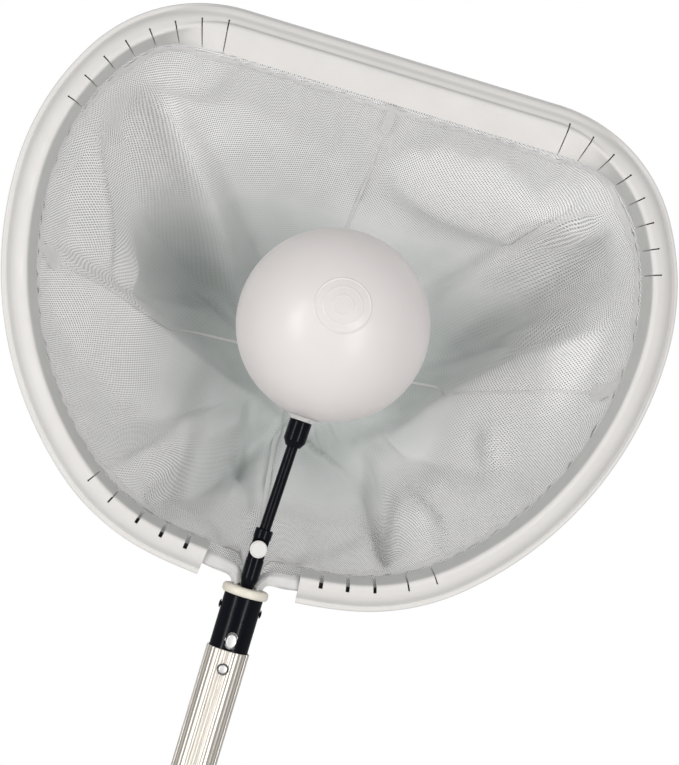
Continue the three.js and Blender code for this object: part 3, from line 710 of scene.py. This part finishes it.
def make_clip(side, facing):
    """The lock pin's head and the release button, on the front (facing -1) or the back (1)."""
    body = f"clip_{side}"
    axis = "-Y" if facing < 0 else "Y"
    pin = turned(f"lock_pin_{side}_head", [
        (0, 11.4), (3.5, 11.4), (3.5, 14.6), (2.9, 15.5), (1.6, 15.75), (0, 15.8),
    ], "spring_steel", level(f"lock_pin_{side}"), axis, 48, 0.5)
    rides(pin, body, f"lock_pin_{side}")
    centre, outline = level(f"release_button_{side}"), oval(*BUTTON_HALF)
    steps = [(1, 11.4), (1, 15.4), (0.97, 16.2), (0.88, 16.75), (0.7, 16.95)]     # [scale, out]
    points = [Vector((x * scale, facing * out, z * scale)) * MM + centre
              for scale, out in steps for x, z in outline]
    count, last = len(outline), (len(steps) - 1) * len(outline)
    faces = [tuple(range(count)), tuple(range(last, last + count)), *bands(len(steps), count)]
    button = piece_of(f"release_button_{side}_cap", points, faces, "spring_steel")
    rides(tidy(button, 40), body, f"release_button_{side}")


# ---- Float: heights are in mm above the pivot ----

PIVOT_HOLE_R = 2.6
KNUCKLE_TOP = 14.6
ROD_BORE_R = 4.4
SOCKET_TOP = 96.7
NECK_FOOT, NECK_TOP, NECK_SIDES = 97, 104.2, 8
BALL_WALL = 2.8


def make_arm():
    base = turned("arm_fork", [
        (0, -24), (4.4, -24), (4.4, 2.9), (6.5, 9.5), (6.5, 32), (0, 32),
    ], "black_plastic", HEAD + Vector((0, ARM_Y, 0)), radius=0.6)
    ears = turned("tool", [(0, -6.5), (6.5, -6.5), (6.5, 6.5), (0, 6.5)], None, PIVOT, "Y",
                  radius=0.4)
    carve(base, ears, operation="UNION")
    slot = tool_box((-10, -2.5, -8), (10, 2.5, 12), Matrix.Translation(PIVOT))
    carve(base, slot, tool_post(PIVOT_HOLE_R, -12, 12, PIVOT, "Y"))
    rides(bevel(tidy(base), 0.3), "net_and_pole", "arm_base")

    pin = turned("pivot_pin_dished", [
        (0, -10.1), (2.3, -10.1), (2.3, 6.8), (6.35, 6.8), (6.35, 8.8), (5.85, 9.6), (5.25, 9.6),
        (4.85, 8.9), (0, 8.9),
    ], "white_plastic", PIVOT, "-Y", 64, 0.35)
    rides(pin, "net_and_pole", "pivot_pin")

    keeper = turned("pin_retainer_ring", [
        (PIVOT_HOLE_R, -9.6), (4.4, -9.6), (5, -9), (5, -6.8), (PIVOT_HOLE_R, -6.8),
    ], "black_plastic", PIVOT, "-Y", 56, 0.3)
    rides(keeper, "net_and_pole", "pin_retainer")


def make_stem():
    tongue = tool_post(5.9, -2.2, 2.2, PIVOT, "Y")
    tongue.name, tongue["slot"] = "stem_knuckle_joint", "black_plastic"
    web = tool_box((-5.9, -2.2, 0), (5.9, 2.2, 9), Matrix.Translation(PIVOT))
    sleeve = turned("tool", [(0, 7.3), (6.5, 7.3), (6.5, KNUCKLE_TOP), (0, KNUCKLE_TOP)], None,
                    PIVOT, radius=0.6)
    carve(tongue, web, sleeve, operation="UNION")
    carve(tongue, tool_post(PIVOT_HOLE_R, -12, 12, PIVOT, "Y"),
          tool_post(ROD_BORE_R, 8.6, 20, PIVOT))
    rides(bevel(tidy(tongue), 0.25), "float", "stem_knuckle")

    rod = turned("stem_rod_round", [(0, 8.9), (4.1, 8.9), (4.1, 85.9), (0, 85.9)],
                 "black_plastic", PIVOT)
    rides(rod, "float", "stem_rod")

    socket = turned("stem_socket_turned", [
        (0, 86.2), (ROD_BORE_R, 86.2), (ROD_BORE_R, 77), (5.4, 77), (8.2, 81.8),
        (8.2, SOCKET_TOP), (4.5, SOCKET_TOP), (4.5, 87.6), (0, 87.6),
    ], "black_plastic", PIVOT, radius=0.5)
    rides(socket, "float", "stem_socket")


def make_neck():
    """The white seat under the ball: eight facets that flare up to the ball's skin."""
    foot, sides = NECK_FOOT, NECK_SIDES
    rings = [(8.0, foot), (8.6, foot + 0.8), (13.7, foot + 3.6), (19, NECK_TOP)]
    turns = [2 * math.pi * (k + 0.5) / sides for k in range(sides)]
    points = [PIVOT + Vector((radius * math.cos(a), radius * math.sin(a), height)) * MM
              for radius, height in rings for a in turns]
    faces = [tuple(reversed(range(sides))), tuple(range(3 * sides, 4 * sides))]
    faces += bands(len(rings), sides)
    neck = tidy(piece_of("faceted_neck", points, faces, "white_plastic"), 15)
    seat = turned("tool", ball_profile(BALL_R + GAP, 48), None, BALL, segments=96, radius=0.001)
    carve(neck, seat)
    carve(neck, tool_post(7, foot, foot + 14, PIVOT), tool_post(4.2, foot - 7, foot + 1, PIVOT),
          operation="UNION")
    rides(bevel(tidy(neck, 15), 0.35, angle=15), "float", "ball_neck")


def ball_profile(radius, count):
    """Half a circle, with only its two ends on the axis."""
    return [(max(radius * math.sin(math.pi * k / count), 0 if k in (0, count) else 0.01),
             -radius * math.cos(math.pi * k / count)) for k in range(count + 1)]


EMBLEM_UP = math.radians(11.5)
EMBLEM_R = 20.5
EMBLEM_FINE = 24  # the skin is modelled finely out to here
EMBLEM_RINGS = [(EMBLEM_R - 0.6, 0.45, 0.55), (13.5, 0.22, 0.6), (7, 0.22, 0.6)]


def emblem_relief(distance):
    """A plain badge: a raised rim round a low dome with two shallow rings."""
    rings = sum(height * math.exp(-(((distance - radius) / width) ** 2))
                for radius, height, width in EMBLEM_RINGS)
    return rings + 0.1 * (1 - smooth(distance, 0, EMBLEM_R))


def make_ball():
    """The ball is turned about the badge's axis, so that the badge's rings follow its own rings."""
    fine = np.arange(0, EMBLEM_FINE, 0.3) / BALL_R
    angles = np.concatenate([fine, np.linspace(EMBLEM_FINE / BALL_R, math.pi, 90)])
    profile = []
    for angle in angles:
        radius = BALL_R + emblem_relief(angle * BALL_R)
        profile.append((max(radius * math.sin(angle), 0), radius * math.cos(angle)))
    profile[0], profile[-1] = (0, profile[0][1]), (0, profile[-1][1])
    shell = turned("float_shell", profile, "ball_plastic", (0, 0, 0), "-Y", 160, 0.001)
    shell.data.transform(Matrix.Translation(BALL) @ Matrix.Rotation(-EMBLEM_UP, 4, "X"))
    hollow = turned("tool", ball_profile(BALL_R - BALL_WALL, 32), None, BALL, segments=48,
                    radius=0.001)
    carve(shell, hollow, tool_post(7.3, -BALL_R - 5, -BALL_R + 14, BALL))
    rides(tidy(shell, 50), "float", "float_ball")


# ---- Pole ----

POLE_R, POLE_BORE_R, RIBS = 15.875, 14.6, 28
INNER_R, INNER_BORE_R = 13.8, 12.6
RIVET_HOLE_R = 1.7
GRIP_RINGS = 22
# Across one rib: share of its width, and depth below the pole's radius.
RIB = ((0.02, 0.14), (0.1, 0.02), (0.28, 0), (0.46, 0.02), (0.54, 0.14), (0.6, 0.42), (0.68, 0.5),
       (0.88, 0.5), (0.96, 0.42))


def make_outer_tube():
    low, high = heights("pole_outer_tube")
    outline = []
    for rib in range(RIBS):
        for share, depth in RIB:
            angle, radius = 2 * math.pi * (rib + share) / RIBS, POLE_R - depth
            outline.append((radius * math.cos(angle), radius * math.sin(angle)))
    count = len(outline)
    bore = oval(POLE_BORE_R, POLE_BORE_R, count)
    levels = [(outline, low + 0.3, 0.985), (outline, low + 0.6, 1), (outline, high - 0.6, 1),
              (outline, high, 0.985), (bore, high, 1), (bore, low + 0.3, 1)]
    points = [Vector((x * s, y * s, z)) * MM for loop, z, s in levels for x, y in loop]
    faces = bands(len(levels), count, closed=True)
    tube = tidy(piece_of("ribbed_pole_tube", points, faces, "anodised_aluminium"), 30)
    carve(tube, tool_post(PIN_HOLE_R, -20, 20, level("lock_pin_front"), "Y"),
          tool_post(RIVET_HOLE_R, -20, 20, level("sleeve_rivet_right"), "X"))
    rides(tidy(tube, 30), "net_and_pole", "pole_outer_tube")


def make_inner_pole():
    low, high = heights("pole_inner_tube")
    tube = turned("inner_pole_tube", [
        (INNER_BORE_R, low), (INNER_R, low), (INNER_R, high), (INNER_BORE_R, high),
    ], "anodised_aluminium", segments=96, radius=0.3)
    rides(tube, "pole_inner", "pole_inner_tube")
    top = high + GAP
    bush = turned("slide_bushing", [
        (0, top - 20), (12.3, top - 20), (12.3, top), (14.3, top), (14.3, top + 5),
        (13.4, top + 6.5), (0, top + 6.5),
    ], "white_plastic", radius=0.6)
    rides(bush, "pole_inner", "inner_bushing")


def make_lock():
    low, high = heights("lock_sleeve")
    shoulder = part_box("pole_outer_tube")[0][2] / MM - GAP
    sleeve = turned("split_lock_sleeve", [
        (14.1, low), (17.2, low), (18.4, low + 4), (18.4, high - 0.8), (17.8, high),
        (POLE_R + GAP, high), (POLE_R + GAP, shoulder), (14.1, shoulder),
    ], "black_plastic", radius=0.5)
    slots = [tool_box((-25, -0.8, low - 5), (25, 0.8, shoulder - 3),
                      Matrix.Rotation(math.radians(45 + 90 * i), 4, "Z")) for i in range(2)]
    rivets = Vector((0, 0, (high - 6) * MM))
    carve(sleeve, *slots, tool_post(RIVET_HOLE_R, -25, 25, rivets, "X"))
    rides(bevel(tidy(sleeve), 0.2), "net_and_pole", "lock_sleeve")

    low, high = heights("lock_collar")
    collar = turned("twist_lock_collar", [
        (14.6, low), (20.4, low), (21.2, low + 1.2), (21.2, high - 1.2), (20.8, high), (18.8, high),
        (18.8, low + 7.4), (17.6, low + 2.2), (14.6, low + 2.2),
    ], "black_plastic", segments=96, radius=0.8)
    bead = [(0, low + 3), (1.0, low + 3.4), (1.5, low + 6), (1.5, high - 7), (1.0, high - 4.4),
            (0, high - 4)]
    places = [Matrix.Rotation(math.radians(15 + 30 * i), 4, "Z") @ Vector((20.2 * MM, 0, 0))
              for i in range(12)]
    grips = [turned("tool", bead, None, place, segments=20, radius=0.6) for place in places]
    carve(collar, *grips, operation="UNION")
    rides(bevel(tidy(collar), 0.2), "lock_collar", "lock_collar")

    for side, axis in (("right", "X"), ("left", "-X")):
        rivet = turned(f"rivet_{side}_head", [
            (0, 14.2), (1.4, 14.2), (1.4, 18.7), (2.7, 18.7), (2.4, 19.5), (0, 19.8),
        ], "spring_steel", level(f"sleeve_rivet_{side}"), axis, 32, 0.4)
        rides(rivet, "net_and_pole", f"sleeve_rivet_{side}")


def make_grip():
    low, high = heights("hand_grip")
    profile = [(14.1, low), (17.6, low), (18.2, low + 2), (18.2, low + 8), (17, low + 12)]
    first, last = low + 14, high - 12
    step = (last - first) / GRIP_RINGS
    for i in range(GRIP_RINGS):
        start = first + (last - first) * i / GRIP_RINGS
        waist = 17 - 0.6 * math.sin(math.pi * (i + 0.5) / GRIP_RINGS)
        profile += [(waist - 0.55, start), (waist - 0.55, start + 0.25 * step),
                    (waist, start + 0.4 * step), (waist, start + 0.9 * step)]
    profile += [(17, high - 10), (18, high - 6), (18, high - 2), (17, high), (14.1, high)]
    grip = turned("ringed_hand_grip", profile, "rubber", segments=80, radius=0.5)
    rides(grip, "pole_inner", "hand_grip")
    cap = turned("butt_cap_round", [
        (0, 0), (15, 0), (16.8, 1.8), (16.8, 5.6), (16, 6.3), (12.3, 6.3), (12.3, 26), (0, 26),
    ], "rubber", radius=0.7)
    rides(cap, "pole_inner", "butt_cap")


# ---- Net bag ----

BAG_HEM = (-3.4, -6)  # [outward, forward] from the rod, as are these
BAG_EDGE_SIDE = (-10.5, -14.8)
BAG_EDGE_TOP = (-22.5, 1.6)
BAG_FOOT_X = 15
BAG_TIP = (0, 201, 168)  # its deepest point, from the collar
BAG_SAG = 34
BAG_BOWL = 1.75  # 1 for a cone, more for a fuller bowl
AROUND, CLOSING, DOWN = 232, 8, 54  # points along the hoop, behind the arm, deep
SLACK = 0.04  # how much more cloth than the smooth bag has
SIM_FRAMES = 12
MOST_MOVED = 0.014  # metres that the simulation may move a point
FOLD_LIFT = 1.9
FOLD_FADE = (3, 12)  # rows from the hem over which folds begin
DEEP_SHADE_DEPTH = (84, 186)  # mm behind the mouth where the painted shade and the haze of the holes start and end
SEAM_HEIGHTS = {"left": 198, "right": 220}  # where side seams meet the rim, from the collar

# Folds in the hung net: points (x, z, height in mm above the smooth bag; below it if negative), and
# how wide the fold falls away on its left and right, looking along it.
FOLDS = [
    ([(-214, 350, 0), (-202, 312, 9), (-190, 275, 12), (-172, 222, 12), (-160, 188, 5)], 5, 14),
    ([(-205, 365, 0), (-182, 320, -6), (-155, 262, -10), (-122, 222, -15), (-90, 196, -12)],
     15, 26),
    ([(-198, 374, 0), (-172, 335, 9), (-120, 275, 12), (-95, 240, 10), (-74, 206, 6)], 30, 9),
    ([(-170, 388, 0), (-105, 366, 5), (-50, 352, 5), (-10, 346, 2)], 18, 8),
    ([(-258, 213, 2), (-227, 214, 9), (-189, 188, 13), (-142, 168, 18), (-100, 150, 20),
      (-55, 131, 18), (-5, 110, 8)], 8, 48),
    ([(-137, 224, 0), (-140, 200, 8), (-145, 172, 2)], 6, 7),
    ([(-238, 165, 0), (-222, 130, 7), (-198, 94, 7), (-175, 76, 0)], 12, 10),
    ([(5, 332, 0), (30, 316, 7), (72, 308, 10), (115, 314, 10), (155, 326, 8)], 28, 12),
    ([(196, 388, 0), (180, 357, 10), (155, 326, 13), (125, 270, 13), (95, 212, 9), (68, 178, 0)],
     10, 26),
    ([(205, 350, 0), (172, 303, -16), (137, 252, -21), (108, 215, -18), (80, 190, -10)], 24, 20),
    ([(242, 294, 2), (197, 256, 11), (153, 221, 18), (115, 170, 18), (82, 117, 13), (55, 92, 0)],
     44, 8),
    ([(-150, 46, 0), (-130, 38, -9), (-104, 37, -11), (-58, 50, -11), (-20, 80, -8), (0, 99, 0)],
     9, 10),
    ([(-150, 66, 0), (-105, 62, 9), (-55, 78, 11), (-5, 112, 5)], 24, 14),
    ([(75, 112, 0), (82, 75, -9), (98, 45, -11), (135, 47, -9), (172, 64, 0)], 10, 9),
    ([(98, 88, 0), (118, 70, 9), (152, 80, 9), (192, 112, 7), (226, 162, 0)], 22, 14),
    ([(150, 170, 0), (155, 145, 6), (158, 118, 0)], 7, 7),
    ([(-60, 140, 0), (-10, 132, 6), (30, 130, 7), (97, 141, 0)], 14, 12),
    ([(-36, 120, 0), (-28, 93, -4), (-12, 45, -4), (-8, 32, 0)], 6, 6),
]


def eased_line(points, pieces=6):
    """More points on a smooth curve through the given ones."""
    ends = [points[0], *points, points[-1]]
    curve = []
    for a, b, c, d in zip(ends, ends[1:], ends[2:], ends[3:]):
        a, b, c, d = (np.array(p, float) for p in (a, b, c, d))
        for t in np.arange(pieces) / pieces:
            curve.append(b + (c - a) * t / 2 + (2 * a - 5 * b + 4 * c - d) * t ** 2 / 2
                         + (3 * b - a - 3 * c + d) * t ** 3 / 2)
    return [*curve, ends[-1]]


def fold_height(x, z):
    """How far the folds lift the net towards the mouth at each place."""
    total = np.zeros_like(x)
    for points, left, right in FOLDS:
        line = eased_line(points)
        nearest = np.full_like(x, 1e9)
        height = np.zeros_like(x)
        for (x0, z0, h0), (x1, z1, h1) in zip(line, line[1:]):
            dx, dz = x1 - x0, z1 - z0
            along = np.clip(((x - x0) * dx + (z - z0) * dz) / (dx * dx + dz * dz), 0, 1)
            away = np.hypot(x - x0 - along * dx, z - z0 - along * dz)
            width = np.where((z - z0) * dx - (x - x0) * dz > 0, left, right)
            closer = away < nearest
            crest = (h0 + (h1 - h0) * along) * np.exp(-(away / width) ** 2)
            height = np.where(closer, crest, height)
            nearest = np.minimum(nearest, away)
        total += height
    return total * FOLD_LIFT


def painted_deep_shade(rows):
    """Painted shade, which also hazes the holes: from 0 near the rim to 1 for the deepest hollows.
    """
    deep = np.array([[smooth(y, *DEEP_SHADE_DEPTH) for y in row] for row in rows[:, :, 1]])
    low = np.clip(-fold_height(rows[:, :, 0], rows[:, :, 2]) / 60, -0.08, 0.1)
    return np.clip((0.9 + low) * deep, 0, 1)


def folded(rows):
    """The smooth bag with its folds raised towards the mouth."""
    round_it = np.roll(rows, -1, axis=1) - np.roll(rows, 1, axis=1)
    down_it = np.gradient(rows, axis=0)
    inward = np.cross(round_it, down_it)
    inward /= np.linalg.norm(inward, axis=2, keepdims=True) + 1e-9
    inward *= np.where(inward[DOWN // 2, :, 1].mean() > 0, -1, 1)
    height = fold_height(rows[:, :, 0], rows[:, :, 2])
    fade = np.array([smooth(i, *FOLD_FADE) for i in range(len(rows))])
    return rows + inward * (height * fade[:, None])[:, :, None]


def bag_ring(lengths, side, top):
    """Points round the bag's mouth at an offset from the hoop, closed behind the arm."""
    points = []
    for length in lengths:
        t = roll(length)
        u, v = (side[k] * (1 - t) + top[k] * t for k in range(2))
        point = (HOOP.offset(length, u, v) - HEAD) / MM
        if point.z < 60:
            point.y += 4 * (1 - smooth(abs(point.x), BAG_FOOT_X, BAG_FOOT_X + 40))
        points.append(point)
    for k in range(1, CLOSING):
        across = BAG_FOOT_X * 0.6 * (1 - 2 * k / CLOSING)
        points.append(Vector((across, 6.8 - side[0], 10 - side[0] / 2)))
    return np.array(points)


def bag_grid(lengths):
    """The smooth bag: rows of points from its hem to near its deepest point, above the collar."""
    edge, hem = bag_ring(lengths, BAG_EDGE_SIDE, BAG_EDGE_TOP), bag_ring(lengths, BAG_HEM, BAG_HEM)
    tip = np.array(BAG_TIP, float)
    low = np.array([1 - smooth(z, 60, HOOP_HEIGHT) for z in edge[:, 2]])
    rows = [hem, (hem + edge) / 2, edge]
    for i in range(1, DOWN):
        t = i / DOWN
        row = edge * (1 - t) + tip * t
        row[:, 1] = edge[:, 1] + (tip[1] - edge[:, 1]) * (1 - (1 - t) ** BAG_BOWL)
        row[:, 2] -= BAG_SAG * low * math.sin(math.pi * t) ** 1.2
        rows.append(row)
    return np.array(rows), tip


def flat_places(rows):
    """Where each point lies on the cut cloth: so far from the tip, at its angle round the bag."""
    steps = np.linalg.norm(np.diff(rows, axis=0), axis=2).mean(axis=1)
    down = np.concatenate([[0], np.cumsum(steps)])
    from_tip = down[-1] + 6 - down
    turn = np.linspace(0, 2 * math.pi, rows.shape[1], endpoint=False)
    return [(r * math.sin(a) * MM, r * math.cos(a) * MM) for r in from_tip for a in turn]


def relax(bag, pinned):
    """Lets the net, a little larger than its shape, settle away from the mouth."""
    scene = bpy.context.scene
    before = [vertex.co.copy() for vertex in bag.data.vertices]
    upright, scene.gravity = scene.gravity.copy(), (0, 9.8, 0)
    bag.vertex_groups.new(name="held").add(list(range(pinned)), 1.0, "REPLACE")
    modifier = bag.modifiers.new("relax", "CLOTH")
    cloth = modifier.settings
    cloth.quality, cloth.mass, cloth.air_damping = 6, 0.1, 3.0
    cloth.tension_stiffness = cloth.compression_stiffness = 14
    cloth.shear_stiffness, cloth.bending_stiffness = 4, 0.08
    cloth.vertex_group_mass = "held"
    cloth.shrink_min = cloth.shrink_max = -SLACK
    modifier.point_cache.frame_start, modifier.point_cache.frame_end = 1, SIM_FRAMES
    for number in range(1, SIM_FRAMES + 1):
        scene.frame_set(number)
    settle(bag)
    scene.frame_set(1)
    scene.gravity = upright
    for vertex, start in zip(bag.data.vertices, before):
        moved = vertex.co - start
        if moved.length > MOST_MOVED:
            vertex.co = start + moved * (MOST_MOVED / moved.length)
        vertex.co.y = min(vertex.co.y, before[-1].y)


def ribbon(name, centres, acrosses, normals, half, lift):
    """A strip of tape laid along the cloth."""
    points, place, length = [], [], 0
    for i, (centre, across, normal) in enumerate(zip(centres, acrosses, normals)):
        if i:
            length += (centre - centres[i - 1]).length
        for k in (-1, -0.5, 0, 0.5, 1):
            raised = lift * (1 - 0.5 * abs(k) ** 3)
            points.append(centre + across * (half * k) + normal * raised)
            place.append((half * k, length))
    faces = [(i * 5 + k, i * 5 + k + 1, i * 5 + k + 6, i * 5 + k + 5)
             for i in range(len(centres) - 1) for k in range(4)]
    strip = piece_of(name, points, faces, "hem_fabric", place)
    strip.data.shade_smooth()
    return strip


def cloth_frame(grid, i, j):
    """A point of the hung cloth with its directions: round the bag, and towards its inside."""
    rows, around = len(grid), len(grid[0])
    here = grid[i][j]
    across = (grid[i][(j + 1) % around] - grid[i][j - 1]).normalized()
    down = (grid[min(i + 1, rows - 1)][j] - grid[max(i - 1, 0)][j]).normalized()
    return here, across, down, across.cross(down).normalized()


def make_bag():
    end = HOOP.foot_length(BAG_FOOT_X)
    lengths = np.linspace(-end, end, AROUND)
    rows, tip = bag_grid(lengths)
    flat, deep_shade = flat_places(rows), painted_deep_shade(rows)
    rows = folded(rows)
    down, around = rows.shape[:2]
    points = [HEAD + Vector(p) * MM for p in [*rows.reshape(-1, 3), tip]]
    faces = bands(down, around)
    last = (down - 1) * around
    faces += [(last + j, last + (j + 1) % around, last + around) for j in range(around)]
    bag = piece_of("mesh_bag", points, faces, "net_fabric", [*flat, (0, 0)])
    bag.data.shade_smooth()
    relax(bag, 3 * around)
    grid = [[bag.data.vertices[i * around + j].co.copy() for j in range(around)]
            for i in range(down)]
    tapes = make_tapes(grid, lengths)
    # painted shade on the net's points, which also hazes its holes
    shade = bag.data.attributes.new("deep_shade", "FLOAT", "POINT")
    shade.data.foreach_set("value", np.append(deep_shade.ravel(), deep_shade[-1].mean()).astype(np.float32))
    rides(bag, "net_and_pole", "net_bag")


def make_tapes(grid, lengths):
    """The hem band along the rim, the three seams, and the patch where each seam meets the rim."""
    tapes = []
    around = len(grid[0])
    inside = -1 if cloth_frame(grid, 10, AROUND // 2)[3].y > 0 else 1
    band = [cloth_frame(grid, 3, j) for j in range(around)] + [cloth_frame(grid, 3, 0)]
    tapes.append(ribbon("hem_band", [b[0] - b[2] * 1.2 * MM for b in band], [b[2] for b in band],
                        [b[3] * inside for b in band], 3.4 * MM, 0.8 * MM))
    up = np.array([HOOP.at_length(length)[1] for length in lengths])
    columns = {"top": AROUND // 2}
    for side, sign in (("left", -1), ("right", 1)):
        far = np.where(np.sign(lengths) == sign, np.abs(up - SEAM_HEIGHTS[side]), 1e9)
        columns[side] = int(far.argmin())
    for name, j in columns.items():
        line = [cloth_frame(grid, i, j) for i in range(2, len(grid) - 6)]
        tapes.append(ribbon(f"seam_{name}", [p[0] for p in line], [p[1] for p in line],
                            [p[3] * inside for p in line], 1.1 * MM, 0.4 * MM))
        patch = line[:6]
        tapes.append(ribbon(f"seam_patch_{name}", [p[0] for p in patch], [p[1] for p in patch],
                            [p[3] * inside for p in patch], 7 * MM, 0.7 * MM))
    for tape in tapes:
        rides(tape, "net_and_pole")
    return tapes


# ---- Stage ----

FLOOR_R, FLOOR_Z, FLOOR_SIDES = 1.3, -0.0005, 96
IN_FRONT, BEHIND = 0.5, 0.26  # how bright the studio is on either side


def make_stage():
    turns = np.linspace(0, 2 * math.pi, FLOOR_SIDES, endpoint=False)
    rim = [Vector((FLOOR_R * math.cos(a), FLOOR_R * math.sin(a), FLOOR_Z)) for a in turns]
    floor = piece_of("floor", rim, [tuple(range(FLOOR_SIDES))], None)
    paper = Shader("floor_paper", (0.86, 0.86, 0.855), 0.8)
    paper.bump(paper.noise(0.01, 3), 0.0002)
    floor.data.materials.append(paper.material)
    world = bpy.data.worlds.new("world")
    world.use_nodes = True
    nodes, links = world.node_tree.nodes, world.node_tree.links
    room = nodes["Background"]
    room.inputs["Color"].default_value = (1, 1, 1, 1)
    heading = nodes.new("ShaderNodeSeparateXYZ")
    links.new(nodes.new("ShaderNodeTexCoord").outputs["Generated"], heading.inputs[0])
    behind = nodes.new("ShaderNodeMapRange")
    levels = {"From Min": 0.05, "From Max": 0.5, "To Min": IN_FRONT, "To Max": BEHIND}
    for socket, value in levels.items():
        behind.inputs[socket].default_value = value
    links.new(heading.outputs["Y"], behind.inputs["Value"])
    links.new(behind.outputs["Result"], room.inputs["Strength"])
    seen = nodes.new("ShaderNodeBackground")
    seen.inputs["Color"].default_value = (1, 1, 1, 1)
    seen.inputs["Strength"].default_value = 1.0
    either = nodes.new("ShaderNodeMixShader")
    links.new(nodes.new("ShaderNodeLightPath").outputs["Is Camera Ray"], either.inputs[0])
    links.new(room.outputs[0], either.inputs[1])
    links.new(seen.outputs[0], either.inputs[2])
    links.new(either.outputs[0], nodes["World Output"].inputs["Surface"])
    bpy.context.scene.world = world
    bpy.context.scene.view_settings.view_transform = "Standard"


def area_light(name, place, aim, size, power, color):
    data = bpy.data.lights.new(name, "AREA")
    data.shape, data.energy, data.color = "RECTANGLE", power, color
    data.size, data.size_y = size
    light = put(name, data)
    light.location = place
    light.rotation_euler = (Vector(aim) - Vector(place)).to_track_quat("-Z", "Y").to_euler()


def make_lights():
    for name, place, size, power, color in (
        ("left_strip", (-1.3, -1.35, -0.2), (0.25, 1.3), 11, (1, 0.995, 0.985)),
        ("right_strip", (0.85, -1.65, -0.1), (0.22, 1.3), 11, (1, 0.975, 0.97)),
        ("back_soft", (0.4, 1.5, 1.4), (1.4, 1.4), 7, (1, 1, 1)),
    ):
        area_light(name, AIM + Vector(place), AIM, size, power, color)


# ---- The whole object ----

make_rim()
make_hoop_rod()
make_hem_sleeve()
make_plug()
make_adapter()
make_rivet()
make_clip("front", -1)
make_clip("back", 1)
make_arm()
make_stem()
make_neck()
make_ball()
make_outer_tube()
make_inner_pole()
make_lock()
make_grip()
make_bag()
for node in ("clip_bend", "clip_leaf_front", "clip_leaf_back"):
    kept = bpy.data.objects[node]
    kept.data.materials.clear()
    kept.data.materials.append(MATERIALS["spring_steel"])
make_stage()
make_lights()
